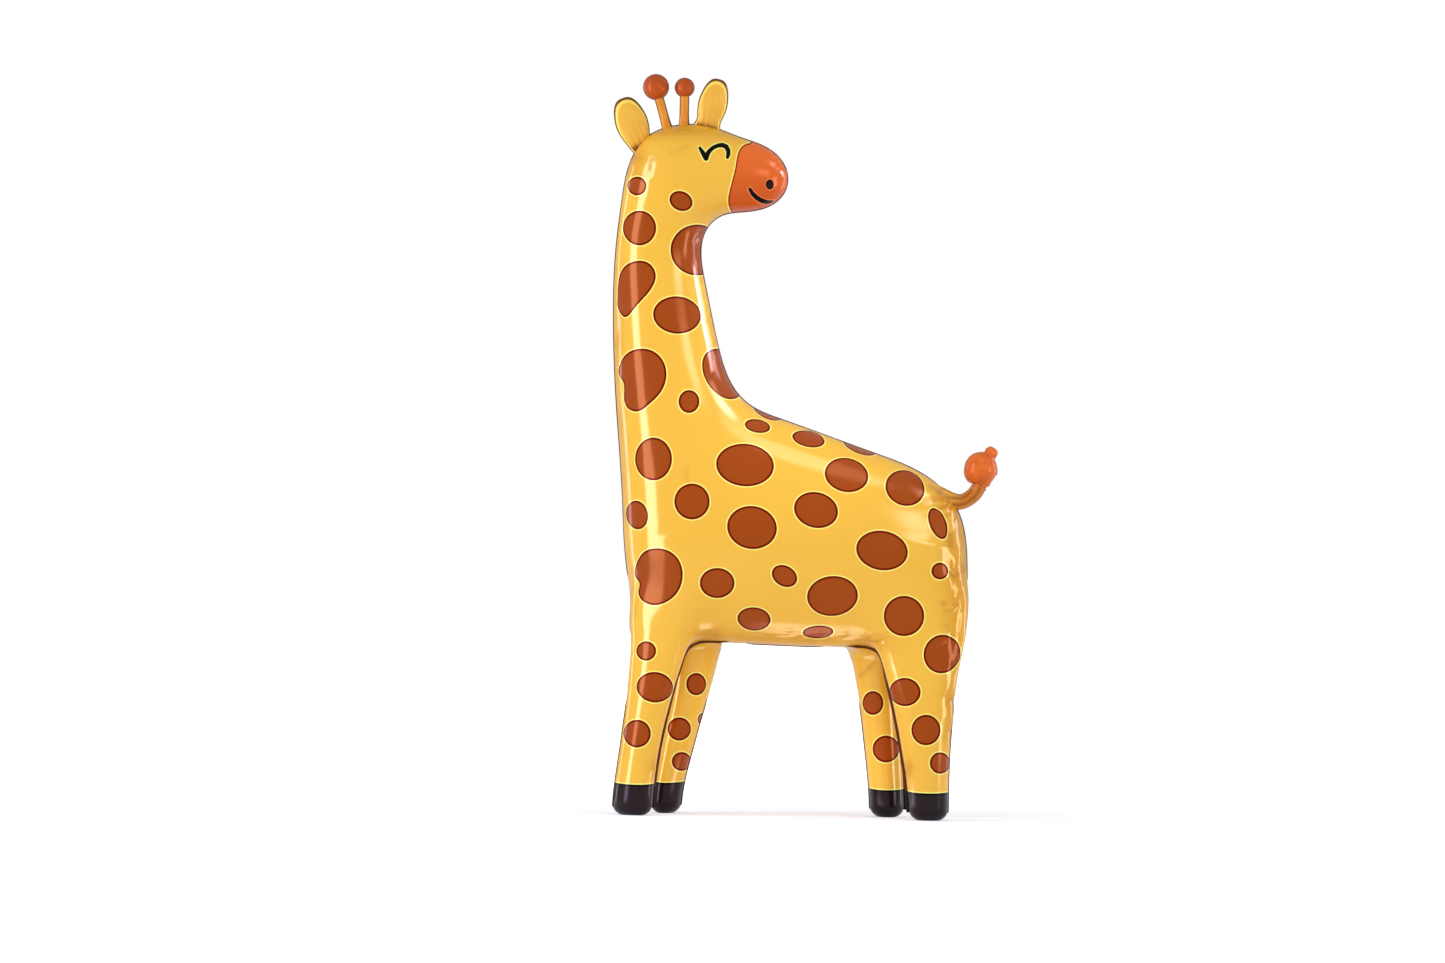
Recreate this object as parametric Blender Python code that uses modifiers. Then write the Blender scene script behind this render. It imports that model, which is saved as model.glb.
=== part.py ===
"""A giraffe foil balloon that stands on its four feet, in metres, with +Z up.

The chest is at -X and the tail at +X, and the head looks back over the body towards +X. The near side is
at -Y. The origin is on the floor, in the middle of the balloon's box.
"""

import itertools
import math

import bmesh
import bpy
import numpy as np
from mathutils import Matrix, Vector

# Driving sizes, in metres
CROWN_HEIGHT = 1.242
CLEARANCE = 0.0003
WIDEST_HALF_THICKNESS = 0.182
TORSO_FULLNESS = 0.097
NECK_FULLNESS = 0.084
HEAD_FULLNESS = 0.064
BELLY_FULLNESS = 0.060
LEG_DEPTH = 0.074
LEG_SPACING = 0.128
HIP_SPACING = 0.090
FRONT_HIP_ROUNDING = 0.025
REAR_HIP_ROUNDING = 0.048
SOLE_ROUNDING = 0.016
EAR_THICKNESS = 0.022
STEM_DIAMETER = 0.017
BACK_HORN_LENGTH = 0.076
BACK_BALL_DIAMETER = 0.047
FRONT_HORN_LENGTH = 0.067
FRONT_BALL_DIAMETER = 0.036
TAIL_DIAMETER = 0.024
TAIL_BALL_DIAMETER = 0.060
TAIL_KNOB_DIAMETER = 0.025

# How finely the solids are faceted, in metres
BODY_CELL = 0.0235
SOLE_CELL = 0.008
TABLE_CELL = 0.005
TABLE_MARGIN = 0.06
FLOOR_SNAP = 2e-4
SPAN_STEPS = 8
SETTLING_ROUNDS = 6
TURN_STEPS = 16
BALL_STEPS = 9

# The figure's own proportions are millimetres on a drawing whose crown is this high
DRAWN_CROWN_HEIGHT = 1242.0
MM = CROWN_HEIGHT / DRAWN_CROWN_HEIGHT

# The outline of the body, neck and head in side view, as (x, z), without the legs
CHEST = ((-303, 312), (-310, 372), (-318, 456), (-326, 564), (-333, 654), (-341, 744), (-347, 843), (-349, 941))
NAPE = ((-345, 1032), (-337, 1104), (-328, 1158), (-311, 1198))
CROWN = ((-289, 1222), (-257, 1236), (-218, 1242), (-176, 1237))
FACE = ((-127, 1220), (-86, 1206), (-55, 1184), (-40, 1152), (-47, 1120), (-74, 1097))
THROAT = ((-118, 1087), (-157, 1080), (-184, 1056), (-194, 1020))
NECK_FRONT = ((-187, 963), (-171, 891), (-157, 833), (-136, 778), (-104, 741))
BACK = ((-46, 715), (45, 684), (135, 653), (199, 628))
RUMP = ((244, 598), (276, 558), (292, 503), (296, 422), (293, 350))
BELLY = ((277, 312), (232, 301), (124, 305), (-2, 307), (-119, 310), (-218, 302), (-275, 294))
BODY_OUTLINE = CHEST + NAPE + CROWN + FACE + THROAT + NECK_FRONT + BACK + RUMP + BELLY

# The heights where the fullness changes
BELLY_LEVEL = 300
FLANK_LEVEL = 400
WITHERS_LEVEL = 690
NECK_LEVEL = 860
JAW_LEVEL = 1040
BROW_LEVEL = 1170

# Each leg's middle and half width in side view, at the same heights from the sole up
LEG_LEVELS = (0, 140, 210, 280, 390, 470)
NEAR_FRONT_MIDDLES = (-299, -285, -273, -261, -252, -248)
NEAR_FRONT_HALF_WIDTHS = (36, 36, 40, 46, 46, 32)
FAR_FRONT_MIDDLES = (-239, -217, -201, -188, -176, -170)
FAR_FRONT_HALF_WIDTHS = (28, 32, 35, 40, 44, 32)
NEAR_REAR_MIDDLES = (233, 225, 220, 215, 207, 200)
NEAR_REAR_HALF_WIDTHS = (35, 45, 55, 68, 76, 56)
FAR_REAR_MIDDLES = (161, 151, 144, 135, 124, 116)
FAR_REAR_HALF_WIDTHS = (31, 34, 37, 42, 48, 36)

# Where the small pieces stand on the body's outline, and how far each leans from upright towards -X
EAR_BACK_FOOT = (-304, 1196)
EAR_BACK_LEAN = math.radians(21.5)
EAR_BACK_LENGTH = 98
EAR_BACK_HALF_WIDTH = 29
EAR_FRONT_FOOT = (-188, 1232)
EAR_FRONT_LEAN = math.radians(-13)
EAR_FRONT_LENGTH = 95
EAR_FRONT_HALF_WIDTH = 26
BACK_HORN_FOOT = (-259, 1235)
BACK_HORN_LEAN = math.radians(16)
FRONT_HORN_FOOT = (-228.5, 1241)
FRONT_HORN_LEAN = 0.0
TAIL_PATH = ((222, 592), (246, 581), (266, 573), (282, 572), (296, 578), (308, 589), (316, 604), (318, 620))
TAIL_KNOB_LEAN = math.radians(-30)
SEAT_DEPTH = 30

# Shares that shape the small pieces
EAR_GATHER = 0.34
EAR_BROADEST_SHARE = 0.7
EAR_TIP_BLUNTNESS = 0.28
STEM_FOOT_FLARE = 1.3
TAIL_ROOT_FLARE = 1.7
TAIL_FLARED_POINTS = 4
BALL_SEAT_SHARE = 0.36
KNOB_SEAT_SHARE = 0.38

# How far apart two points are for reading a slope, and the least slope that counts, in metres and without a unit
PROBE = 1e-4
LEAST_SLOPE = 0.02

GOLDEN_FOIL = (0.91, 0.52, 0.06)
EAR_FOIL = (0.83, 0.48, 0.08)
ORANGE_FOIL = (0.70, 0.15, 0.03)


def clear_scene():
    for thing in list(bpy.data.objects):
        bpy.data.objects.remove(thing, do_unlink=True)


def new_collection(name):
    collection = bpy.data.collections.new(name)
    bpy.context.scene.collection.children.link(collection)
    return collection


def foil(name, colour):
    material = bpy.data.materials.new(name)
    material.use_nodes = True
    shader = material.node_tree.nodes["Principled BSDF"]
    shader.inputs["Base Color"].default_value = (*colour, 1.0)
    shader.inputs["Roughness"].default_value = 0.22
    shader.inputs["Metallic"].default_value = 0.35
    material.diffuse_color = (*colour, 1.0)
    return material


def add_mesh_object(name, mesh, collection, material=None):
    thing = bpy.data.objects.new(name, mesh)
    collection.objects.link(thing)
    if material is not None:
        mesh.materials.append(material)
    return thing


def closed_curve(points, steps):
    """Points along a smooth closed curve through the given ones, with even slope and bend where its spans meet."""
    knots = np.array(points, float)
    following = np.roll(knots, -1, axis=0)
    chord = np.linalg.norm(following - knots, axis=1)
    previous_chord = np.roll(chord, 1)
    rise = (following - knots) / chord[:, None]
    row = np.arange(len(knots))
    system = np.zeros((len(knots), len(knots)))
    system[row, row] = 2 * (previous_chord + chord)
    system[row, row - 1] = chord
    system[row, (row + 1) % len(knots)] = previous_chord
    wanted = 3 * (previous_chord[:, None] * rise + chord[:, None] * np.roll(rise, 1, axis=0))
    slope = np.linalg.solve(system, wanted)
    along = (np.arange(steps) / steps)[None, :, None]
    start_tangent = (chord[:, None] * slope)[:, None, :]
    end_tangent = (chord[:, None] * np.roll(slope, -1, axis=0))[:, None, :]
    curve = (
        (2 * along**3 - 3 * along**2 + 1) * knots[:, None, :]
        + (along**3 - 2 * along**2 + along) * start_tangent
        + (3 * along**2 - 2 * along**3) * following[:, None, :]
        + (along**3 - along**2) * end_tangent
    )
    return curve.reshape(-1, 2)


def eased(levels, values, at):
    """A smooth curve through values at levels, flat beyond both ends."""
    levels = np.array(levels, float)
    values = np.array(values, float)
    slopes = np.gradient(values, levels)
    slopes[0] = 0.0
    slopes[-1] = 0.0
    at = np.clip(at, levels[0], levels[-1])
    span = np.clip(np.searchsorted(levels, at, side="right") - 1, 0, len(levels) - 2)
    width = levels[span + 1] - levels[span]
    along = (at - levels[span]) / width
    return (
        (2 * along**3 - 3 * along**2 + 1) * values[span]
        + (along**3 - 2 * along**2 + along) * width * slopes[span]
        + (3 * along**2 - 2 * along**3) * values[span + 1]
        + (along**3 - along**2) * width * slopes[span + 1]
    )


def inset(x, z, outline):
    """How far a point is inside the outline, evened out far from the edges, and below zero outside it.

    Every edge adds (1/r1 + 1/r2) * tan(a/2), where r1 and r2 are the distances to its ends and a is the angle
    that it fills as seen from the point. The inset is 2 divided by the sum.
    """
    pull = np.zeros(np.shape(x))
    for (start_x, start_z), (end_x, end_z) in zip(outline, np.roll(outline, -1, axis=0)):
        x1 = start_x - x
        z1 = start_z - z
        x2 = end_x - x
        z2 = end_z - z
        reach1 = np.hypot(x1, z1)
        reach2 = np.hypot(x2, z2)
        half_angle_tangent = (z1 * x2 - x1 * z2) / (reach1 * reach2 + x1 * x2 + z1 * z2 + 1e-15)
        pull += (1 / (reach1 + 1e-9) + 1 / (reach2 + 1e-9)) * half_angle_tangent
    return 2 / pull


def fullness(z):
    """The radius of the rim at each height: what makes the torso thick and the head slim."""
    levels = np.array((BELLY_LEVEL, FLANK_LEVEL, WITHERS_LEVEL, NECK_LEVEL, JAW_LEVEL, BROW_LEVEL)) * MM
    radii = (BELLY_FULLNESS, TORSO_FULLNESS, TORSO_FULLNESS, NECK_FULLNESS, NECK_FULLNESS, HEAD_FULLNESS)
    return eased(levels, radii, z)


def blended(one, other, rounding):
    """The smaller of two distances, with the corner between them filled over the given rounding."""
    share = np.clip(0.5 + 0.5 * (other - one) / rounding, 0, 1)
    return other + (one - other) * share - rounding * share * (1 - share)


def leg_distance(x, y, z, middles, half_widths, side):
    """Distance from an oval tube with a flat sole, whose middle and half width follow the heights."""
    levels = np.array(LEG_LEVELS) * MM
    middle = eased(levels, np.array(middles) * MM, z)
    half_width = eased(levels, np.array(half_widths) * MM, z)
    half_depth = eased(levels[[0, 3, 5]], (LEG_DEPTH / 2, LEG_DEPTH / 2, LEG_DEPTH / 3), z)
    offset = eased(levels[[0, 2, 5]], (LEG_SPACING / 2, LEG_SPACING / 2, HIP_SPACING / 2), z)
    across = (x - middle) / half_width
    deep = (y - side * offset) / half_depth
    reach = np.sqrt(across**2 + deep**2)
    slope = np.sqrt((across / half_width) ** 2 + (deep / half_depth) ** 2)
    wall = (reach - 1) * reach / np.maximum(slope, LEAST_SLOPE)
    wall_corner = wall + SOLE_ROUNDING
    sole_corner = SOLE_ROUNDING - z
    outside = np.hypot(np.maximum(wall_corner, 0), np.maximum(sole_corner, 0))
    inside = np.minimum(np.maximum(wall_corner, sole_corner), 0)
    foot = outside + inside - SOLE_ROUNDING
    top = z - levels[-1]
    return np.maximum(foot, top)


def swelling_table(outline):
    """The square of the half thickness on a grid over the outline.

    It grows from the rim as twice the fullness times the inset, and levels off towards the widest half
    thickness.
    """
    low = outline.min(axis=0) - TABLE_MARGIN
    high = outline.max(axis=0) + TABLE_MARGIN
    across = np.arange(low[0], high[0], TABLE_CELL)
    up = np.arange(low[1], high[1], TABLE_CELL)
    x, z = np.meshgrid(across, up, indexing="ij")
    limit = WIDEST_HALF_THICKNESS**2
    return low, limit * (1 - np.exp(-2 * fullness(z) * inset(x, z, outline) / limit))


def spline_weights(along):
    """The four weights of a cubic spline between grid lines, and how fast each changes."""
    weights = (
        (1 - along) ** 3 / 6,
        (3 * along**3 - 6 * along**2 + 4) / 6,
        (-3 * along**3 + 3 * along**2 + 3 * along + 1) / 6,
        along**3 / 6,
    )
    changes = (
        -((1 - along) ** 2) / 2,
        (3 * along**2 - 4 * along) / 2,
        (-3 * along**2 + 2 * along + 1) / 2,
        along**2 / 2,
    )
    return weights, changes


def read_table(table, x, z):
    """The value in the table at each point, with its slopes along x and z."""
    low, values = table
    column = np.clip((x - low[0]) / TABLE_CELL, 1, values.shape[0] - 3)
    row = np.clip((z - low[1]) / TABLE_CELL, 1, values.shape[1] - 3)
    first_column = np.floor(column).astype(int)
    first_row = np.floor(row).astype(int)
    x_weights, x_changes = spline_weights(column - first_column)
    z_weights, z_changes = spline_weights(row - first_row)
    value = np.zeros(np.shape(x))
    slope_x = np.zeros(np.shape(x))
    slope_z = np.zeros(np.shape(x))
    for i, j in itertools.product(range(4), repeat=2):
        corner = values[first_column + i - 1, first_row + j - 1]
        value += x_weights[i] * z_weights[j] * corner
        slope_x += x_changes[i] * z_weights[j] * corner / TABLE_CELL
        slope_z += x_weights[i] * z_changes[j] * corner / TABLE_CELL
    return value, slope_x, slope_z


def body_distance(points, table):
    """Distance from the balloon's skin: the swollen outline joined to the four legs, with rounded hips."""
    x, y, z = points
    swell, slope_x, slope_z = read_table(table, x, z)
    steepness = np.sqrt(4 * y**2 + slope_x**2 + slope_z**2)
    distance = (y**2 - swell) / np.maximum(steepness, LEAST_SLOPE)
    for middles, half_widths, side, rounding in (
        (NEAR_FRONT_MIDDLES, NEAR_FRONT_HALF_WIDTHS, -1, FRONT_HIP_ROUNDING),
        (FAR_FRONT_MIDDLES, FAR_FRONT_HALF_WIDTHS, 1, FRONT_HIP_ROUNDING),
        (NEAR_REAR_MIDDLES, NEAR_REAR_HALF_WIDTHS, -1, REAR_HIP_ROUNDING),
        (FAR_REAR_MIDDLES, FAR_REAR_HALF_WIDTHS, 1, REAR_HIP_ROUNDING),
    ):
        leg = leg_distance(x, y, z, middles, half_widths, side)
        distance = blended(distance, leg, rounding)
    return distance


def net_around(distance, axes):
    """A net of quads around the space where distance is below zero: one point in each cell that it crosses."""
    grid = np.stack(np.meshgrid(*axes, indexing="ij"))
    value = distance(grid)
    inside = value < 0
    shape = np.array(inside.shape) - 1

    def corner(array, offset):
        i, j, k = offset
        return array[..., i : i + shape[0], j : j + shape[1], k : k + shape[2]]

    offsets = list(itertools.product((0, 1), repeat=3))
    filled = sum(corner(inside, offset).astype(int) for offset in offsets)
    crossed = (filled > 0) & (filled < len(offsets))
    number = np.full(shape, -1)
    number[crossed] = np.arange(crossed.sum())
    total = np.zeros((3, *shape))
    crossings = np.zeros(shape)
    for first, second in itertools.combinations(offsets, 2):
        if sum(abs(a - b) for a, b in zip(first, second)) != 1:
            continue
        cut = corner(inside, first) != corner(inside, second)
        fall = corner(value, first) - corner(value, second)
        share = np.where(cut, corner(value, first) / np.where(cut, fall, 1), 0)
        place = corner(grid, first) + share * (corner(grid, second) - corner(grid, first))
        total += np.where(cut, place, 0)
        crossings += cut
    points = (total[:, crossed] / crossings[crossed]).T
    quads = []
    for axis in range(3):
        ahead = np.roll(inside, -1, axis=axis)
        cut = inside != ahead
        index = np.argwhere(cut)
        side_axes = [other for other in range(3) if other != axis]
        usable = index[:, axis] < shape[axis]
        for other in side_axes:
            usable &= (index[:, other] > 0) & (index[:, other] < shape[other])
        index = index[usable]
        corners = []
        for back_one, back_other in ((0, 0), (1, 0), (1, 1), (0, 1)):
            cell = index.copy()
            cell[:, side_axes[0]] -= back_one
            cell[:, side_axes[1]] -= back_other
            corners.append(number[tuple(cell.T)])
        quad = np.stack(corners, axis=1)
        leaves = inside[tuple(index.T)]
        turn = leaves if axis != 1 else ~leaves
        quad[turn] = quad[turn][:, ::-1]
        quads.append(quad[:, ::-1])
    return points, np.concatenate(quads)


def settled(points, quads, distance, cell):
    """The net with its points evened out along the skin and brought exactly onto it."""
    edges = np.concatenate([quads[:, [0, 1]], quads[:, [1, 2]], quads[:, [2, 3]], quads[:, [3, 0]]])
    neighbours = np.bincount(edges[:, 0], minlength=len(points))
    for round_number in range(2 * SETTLING_ROUNDS):
        if round_number < SETTLING_ROUNDS:
            mean = np.stack(
                [np.bincount(edges[:, 0], points[edges[:, 1], axis], len(points)) for axis in range(3)], axis=1
            )
            points = 0.5 * points + 0.5 * mean / neighbours[:, None]
        value = distance(points.T)
        slope = np.stack([(distance(points.T + PROBE * unit[:, None]) - value) / PROBE for unit in np.eye(3)])
        push = (value * slope / np.maximum((slope**2).sum(axis=0), LEAST_SLOPE**2)).T
        length = np.linalg.norm(push, axis=1, keepdims=True)
        points = points - push * np.minimum(1, cell / 2 / np.maximum(length, PROBE))
    return points


def make_body(collection):
    outline = closed_curve(BODY_OUTLINE, SPAN_STEPS) * MM
    margin = 2 * BODY_CELL
    low = outline.min(axis=0) - margin
    high = outline.max(axis=0) + margin
    depth = math.ceil((LEG_SPACING + LEG_DEPTH) / 2 / BODY_CELL) + 2
    fine_top = 3 * SOLE_ROUNDING
    axes = (
        np.arange(low[0], high[0], BODY_CELL),
        np.arange(-depth, depth + 1) * BODY_CELL + BODY_CELL / 2,
        np.concatenate([
            np.arange(-1.5 * SOLE_CELL, fine_top, SOLE_CELL),
            np.arange(fine_top + SOLE_CELL / 2, high[1], BODY_CELL),
        ]),
    )
    table = swelling_table(outline)

    def distance(points):
        return body_distance(points, table)

    points, quads = net_around(distance, axes)
    points = settled(points, quads, distance, SOLE_CELL)
    on_the_floor = points[:, 2] < FLOOR_SNAP
    points[on_the_floor, 2] = 0
    mesh = bpy.data.meshes.new("body")
    mesh.from_pydata(points.tolist(), [], quads.tolist())
    mesh.update()
    mesh.shade_smooth()
    return add_mesh_object("body", mesh, collection, foil("golden foil", GOLDEN_FOIL))


def standing_place(foot, lean):
    """The frame of a small piece: its foot on the outline, its length along the lean."""
    turn = Matrix.Rotation(-lean, 4, "Y")
    return Matrix.Translation(Vector((foot[0] * MM, 0, foot[1] * MM))) @ turn


def make_ear(name, foot, lean, length, half_width, collection):
    """A flat pad, broad towards its tip and gathered at its foot: a ball that is squeezed by its height."""
    mesh = bpy.data.meshes.new(name)
    shape = bmesh.new()
    bmesh.ops.create_uvsphere(shape, u_segments=18, v_segments=13, radius=1)
    full_length = (length + SEAT_DEPTH) * MM
    for vertex in shape.verts:
        up = (vertex.co.z + 1) / 2
        opening = math.sin(min(1, up / EAR_BROADEST_SHARE) * math.pi / 2) ** 1.5
        gather = EAR_GATHER + (1 - EAR_GATHER) * opening
        blunt = max(LEAST_SLOPE, math.hypot(vertex.co.x, vertex.co.y)) ** -EAR_TIP_BLUNTNESS
        vertex.co.x *= half_width * MM * gather * blunt
        vertex.co.y *= EAR_THICKNESS / 2 * (1 + gather) / 2
        vertex.co.z = up * full_length - SEAT_DEPTH * MM
    shape.transform(standing_place(foot, lean))
    shape.to_mesh(mesh)
    shape.free()
    mesh.shade_smooth()
    return add_mesh_object(name, mesh, collection, foil(name + " foil", EAR_FOIL))


def turned(name, profile, collection):
    """A turned shape: the profile, as (radius, height) from the top down, carried around its axis."""
    mesh = bpy.data.meshes.new(name)
    edges = [(index, index + 1) for index in range(len(profile) - 1)]
    mesh.from_pydata([(radius, 0, height) for radius, height in profile], edges, [])
    thing = add_mesh_object(name, mesh, collection)
    screw = thing.modifiers.new("turn", "SCREW")
    screw.steps = TURN_STEPS
    screw.render_steps = TURN_STEPS
    screw.use_merge_vertices = True
    screw.merge_threshold = 1e-5
    screw.use_smooth_shade = True
    return thing


def make_horn(name, foot, lean, length, ball_diameter, collection):
    """A stem with a ball on it, in one profile."""
    ball = ball_diameter / 2
    stem = STEM_DIAMETER / 2
    neck_angle = math.asin(stem / ball)
    profile = []
    for step in range(BALL_STEPS + 1):
        angle = (math.pi - neck_angle) * step / BALL_STEPS
        profile.append((ball * math.sin(angle), length + ball * math.cos(angle)))
    profile[0] = (0, length + ball)
    profile.append((stem, length / 2))
    profile.append((stem * STEM_FOOT_FLARE, 0))
    profile.append((stem * STEM_FOOT_FLARE, -SEAT_DEPTH * MM / 2))
    profile.append((0, -SEAT_DEPTH * MM / 2))
    thing = turned(name, profile, collection)
    thing.matrix_world = standing_place(foot, lean)
    thing.data.materials.append(foil(name + " foil", ORANGE_FOIL))
    return thing


def mesh_from(thing):
    """A plain mesh of what the object's curve or modifiers make, with its doubles merged, in world space."""
    bpy.context.view_layer.update()
    evaluated = thing.evaluated_get(bpy.context.evaluated_depsgraph_get())
    mesh = bpy.data.meshes.new_from_object(evaluated)
    shape = bmesh.new()
    shape.from_mesh(mesh)
    shape.transform(thing.matrix_world)
    bmesh.ops.remove_doubles(shape, verts=shape.verts, dist=1e-6)
    bmesh.ops.recalc_face_normals(shape, faces=shape.faces)
    shape.to_mesh(mesh)
    shape.free()
    return mesh


def ball_object(name, middle, diameter, collection):
    mesh = bpy.data.meshes.new(name)
    shape = bmesh.new()
    bmesh.ops.create_uvsphere(shape, u_segments=TURN_STEPS, v_segments=BALL_STEPS, radius=diameter / 2)
    shape.transform(Matrix.Translation(middle))
    shape.to_mesh(mesh)
    shape.free()
    return add_mesh_object(name, mesh, collection)


def hide_as_helper(thing):
    thing.hide_render = True
    thing.display_type = "WIRE"


def combine(thing, other, operation):
    boolean = thing.modifiers.new(operation.lower(), "BOOLEAN")
    boolean.operation = operation
    boolean.object = other


def make_tail(collection, helpers):
    """A tapering tube that turns up from the rump, with a ball and a small knob on its end."""
    data = bpy.data.curves.new("tail path", "CURVE")
    data.dimensions = "3D"
    data.bevel_depth = TAIL_DIAMETER / 2
    data.bevel_resolution = 3
    data.resolution_u = 2
    data.use_fill_caps = True
    path = data.splines.new("NURBS")
    path.order_u = 4
    path.use_endpoint_u = True
    path.points.add(len(TAIL_PATH) - 1)
    for index, (x, z) in enumerate(TAIL_PATH):
        path.points[index].co = (x * MM, 0, z * MM, 1)
        root_share = max(0, 1 - index / TAIL_FLARED_POINTS) ** 2
        path.points[index].radius = 1 + (TAIL_ROOT_FLARE - 1) * root_share
    guide = bpy.data.objects.new("tail path", data)
    helpers.objects.link(guide)
    tube = mesh_from(guide)
    bpy.data.objects.remove(guide)
    tail = add_mesh_object("tail", tube, collection, foil("tail foil", ORANGE_FOIL))
    tube_end = Vector((TAIL_PATH[-1][0] * MM, 0, TAIL_PATH[-1][1] * MM))
    ball_middle = tube_end + Vector((0, 0, BALL_SEAT_SHARE * TAIL_BALL_DIAMETER / 2))
    knob_reach = (TAIL_BALL_DIAMETER + KNOB_SEAT_SHARE * TAIL_KNOB_DIAMETER) / 2
    knob_middle = ball_middle + knob_reach * Vector((-math.sin(TAIL_KNOB_LEAN), 0, math.cos(TAIL_KNOB_LEAN)))
    ball = ball_object("tail ball", ball_middle, TAIL_BALL_DIAMETER, helpers)
    knob = ball_object("tail knob", knob_middle, TAIL_KNOB_DIAMETER, helpers)
    for helper in (ball, knob):
        hide_as_helper(helper)
        combine(tail, helper, "UNION")
    return tail


def make_seat_cutter(body, helpers):
    """A copy of the body, larger by the clearance, that cuts each small piece to sit on the skin."""
    mesh = body.data.copy()
    mesh.name = "seat cutter"
    shape = bmesh.new()
    shape.from_mesh(mesh)
    shape.normal_update()
    moves = [vertex.normal * CLEARANCE for vertex in shape.verts]
    for vertex, move in zip(shape.verts, moves):
        vertex.co += move
    shape.to_mesh(mesh)
    shape.free()
    cutter = add_mesh_object("seat cutter", mesh, helpers)
    hide_as_helper(cutter)
    return cutter


def centre_over_origin(collection):
    """Moves everything along X, so that the middle of the balloon's box is over the origin."""
    bpy.context.view_layer.update()
    graph = bpy.context.evaluated_depsgraph_get()
    reach = []
    for thing in collection.objects:
        evaluated = thing.evaluated_get(graph)
        reach += [(evaluated.matrix_world @ Vector(corner)).x for corner in evaluated.bound_box]
    middle = (min(reach) + max(reach)) / 2
    for thing in bpy.data.objects:
        thing.location.x -= middle


def make_balloon():
    clear_scene()
    balloon = new_collection("giraffe foil balloon")
    helpers = new_collection("cutters")
    body = make_body(balloon)
    cutter = make_seat_cutter(body, helpers)
    ear_back = make_ear("ear_back", EAR_BACK_FOOT, EAR_BACK_LEAN, EAR_BACK_LENGTH, EAR_BACK_HALF_WIDTH, balloon)
    ear_front = make_ear(
        "ear_front", EAR_FRONT_FOOT, EAR_FRONT_LEAN, EAR_FRONT_LENGTH, EAR_FRONT_HALF_WIDTH, balloon
    )
    horn_back = make_horn(
        "horn_back", BACK_HORN_FOOT, BACK_HORN_LEAN, BACK_HORN_LENGTH, BACK_BALL_DIAMETER, balloon
    )
    horn_front = make_horn(
        "horn_front", FRONT_HORN_FOOT, FRONT_HORN_LEAN, FRONT_HORN_LENGTH, FRONT_BALL_DIAMETER, balloon
    )
    tail = make_tail(balloon, helpers)
    for piece in (ear_back, ear_front, horn_back, horn_front, tail):
        combine(piece, cutter, "DIFFERENCE")
    centre_over_origin(balloon)


make_balloon()
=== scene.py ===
# %% [markdown]
# # A giraffe foil balloon
#
# The real thing is a sealed bag of printed, metallised film. It is cut as flat panels, welded around the
# edge and filled with air, so it stands on its own four feet. This lesson dresses the plain solids of the
# part: it computes the taut skin, presses puckers into it, prints the spots and the face, and lights it.
#
# The imported part is loaded first as a fixed frame.

# %% Load the part
import itertools
import math

import bpy
import numpy as np
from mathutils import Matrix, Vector


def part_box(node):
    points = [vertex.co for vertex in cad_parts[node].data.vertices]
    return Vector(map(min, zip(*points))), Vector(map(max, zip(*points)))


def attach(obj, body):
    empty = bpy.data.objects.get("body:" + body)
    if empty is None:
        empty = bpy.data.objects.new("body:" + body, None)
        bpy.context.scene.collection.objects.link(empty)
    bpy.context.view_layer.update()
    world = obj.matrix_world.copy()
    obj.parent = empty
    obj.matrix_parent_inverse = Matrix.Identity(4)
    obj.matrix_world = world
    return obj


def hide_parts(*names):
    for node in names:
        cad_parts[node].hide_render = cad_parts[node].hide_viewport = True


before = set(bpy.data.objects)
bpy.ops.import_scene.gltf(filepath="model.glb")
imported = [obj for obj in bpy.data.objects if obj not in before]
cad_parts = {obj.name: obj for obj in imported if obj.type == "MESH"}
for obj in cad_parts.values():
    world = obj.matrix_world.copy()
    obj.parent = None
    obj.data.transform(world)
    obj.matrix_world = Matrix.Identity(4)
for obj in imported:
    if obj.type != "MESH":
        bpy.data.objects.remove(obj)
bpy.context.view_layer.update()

# %% [markdown]
# ## One drawing for everything
#
# All places on the balloon come from one side view, drawn in millimetres: x runs from the chest to the tail
# and z goes up from the floor. The solids were centred on their box afterwards, so the drawing's zero is a
# few millimetres off. The front horn stands upright at a known x, and its box tells how far.

# %% The drawing's units and shift
MM = 0.001
FRONT_HORN_X = -228.5

low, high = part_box("horn_front")
SHIFT = (low.x + high.x) / 2 - FRONT_HORN_X * MM
print("the drawing's zero is at", round(SHIFT / MM, 2), "mm")


def srgb(red, green, blue):
    """A colour given as screen values from 0 to 255, as the linear values that a shader takes."""
    screen = np.array((red, green, blue)) / 255
    linear = np.where(screen <= 0.04045, screen / 12.92, ((screen + 0.055) / 1.055) ** 2.4)
    return (*linear.tolist(), 1.0)


# %% [markdown]
# ## The outline of the bag
#
# The panels are cut along one closed line. A polygon would show corners in the gloss, so the line is a
# closed curve of cubic spans through a few dozen points, whose slope and bend agree where its spans meet.

# %% The outline curve
CHEST = (
    (-303, 312), (-310, 372), (-318, 456), (-326, 564), (-333, 654), (-341, 744), (-347, 843), (-349, 941),
)
NAPE = ((-345, 1032), (-337, 1104), (-328, 1158), (-311, 1198))
CROWN = ((-289, 1222), (-257, 1236), (-218, 1242), (-176, 1237))
FACE = ((-127, 1220), (-86, 1206), (-55, 1184), (-40, 1152), (-47, 1120), (-74, 1097))
THROAT = ((-118, 1087), (-157, 1080), (-184, 1056), (-194, 1020))
NECK_FRONT = ((-187, 963), (-171, 891), (-157, 833), (-136, 778), (-104, 741))
BACK = ((-46, 715), (45, 684), (135, 653), (199, 628))
RUMP = ((244, 598), (276, 558), (292, 503), (296, 422), (293, 350))
BELLY = ((277, 312), (232, 301), (124, 305), (-2, 307), (-119, 310), (-218, 302), (-275, 294))
BAG_OUTLINE = CHEST + NAPE + CROWN + FACE + THROAT + NECK_FRONT + BACK + RUMP + BELLY
SPAN_STEPS = 8


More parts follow.
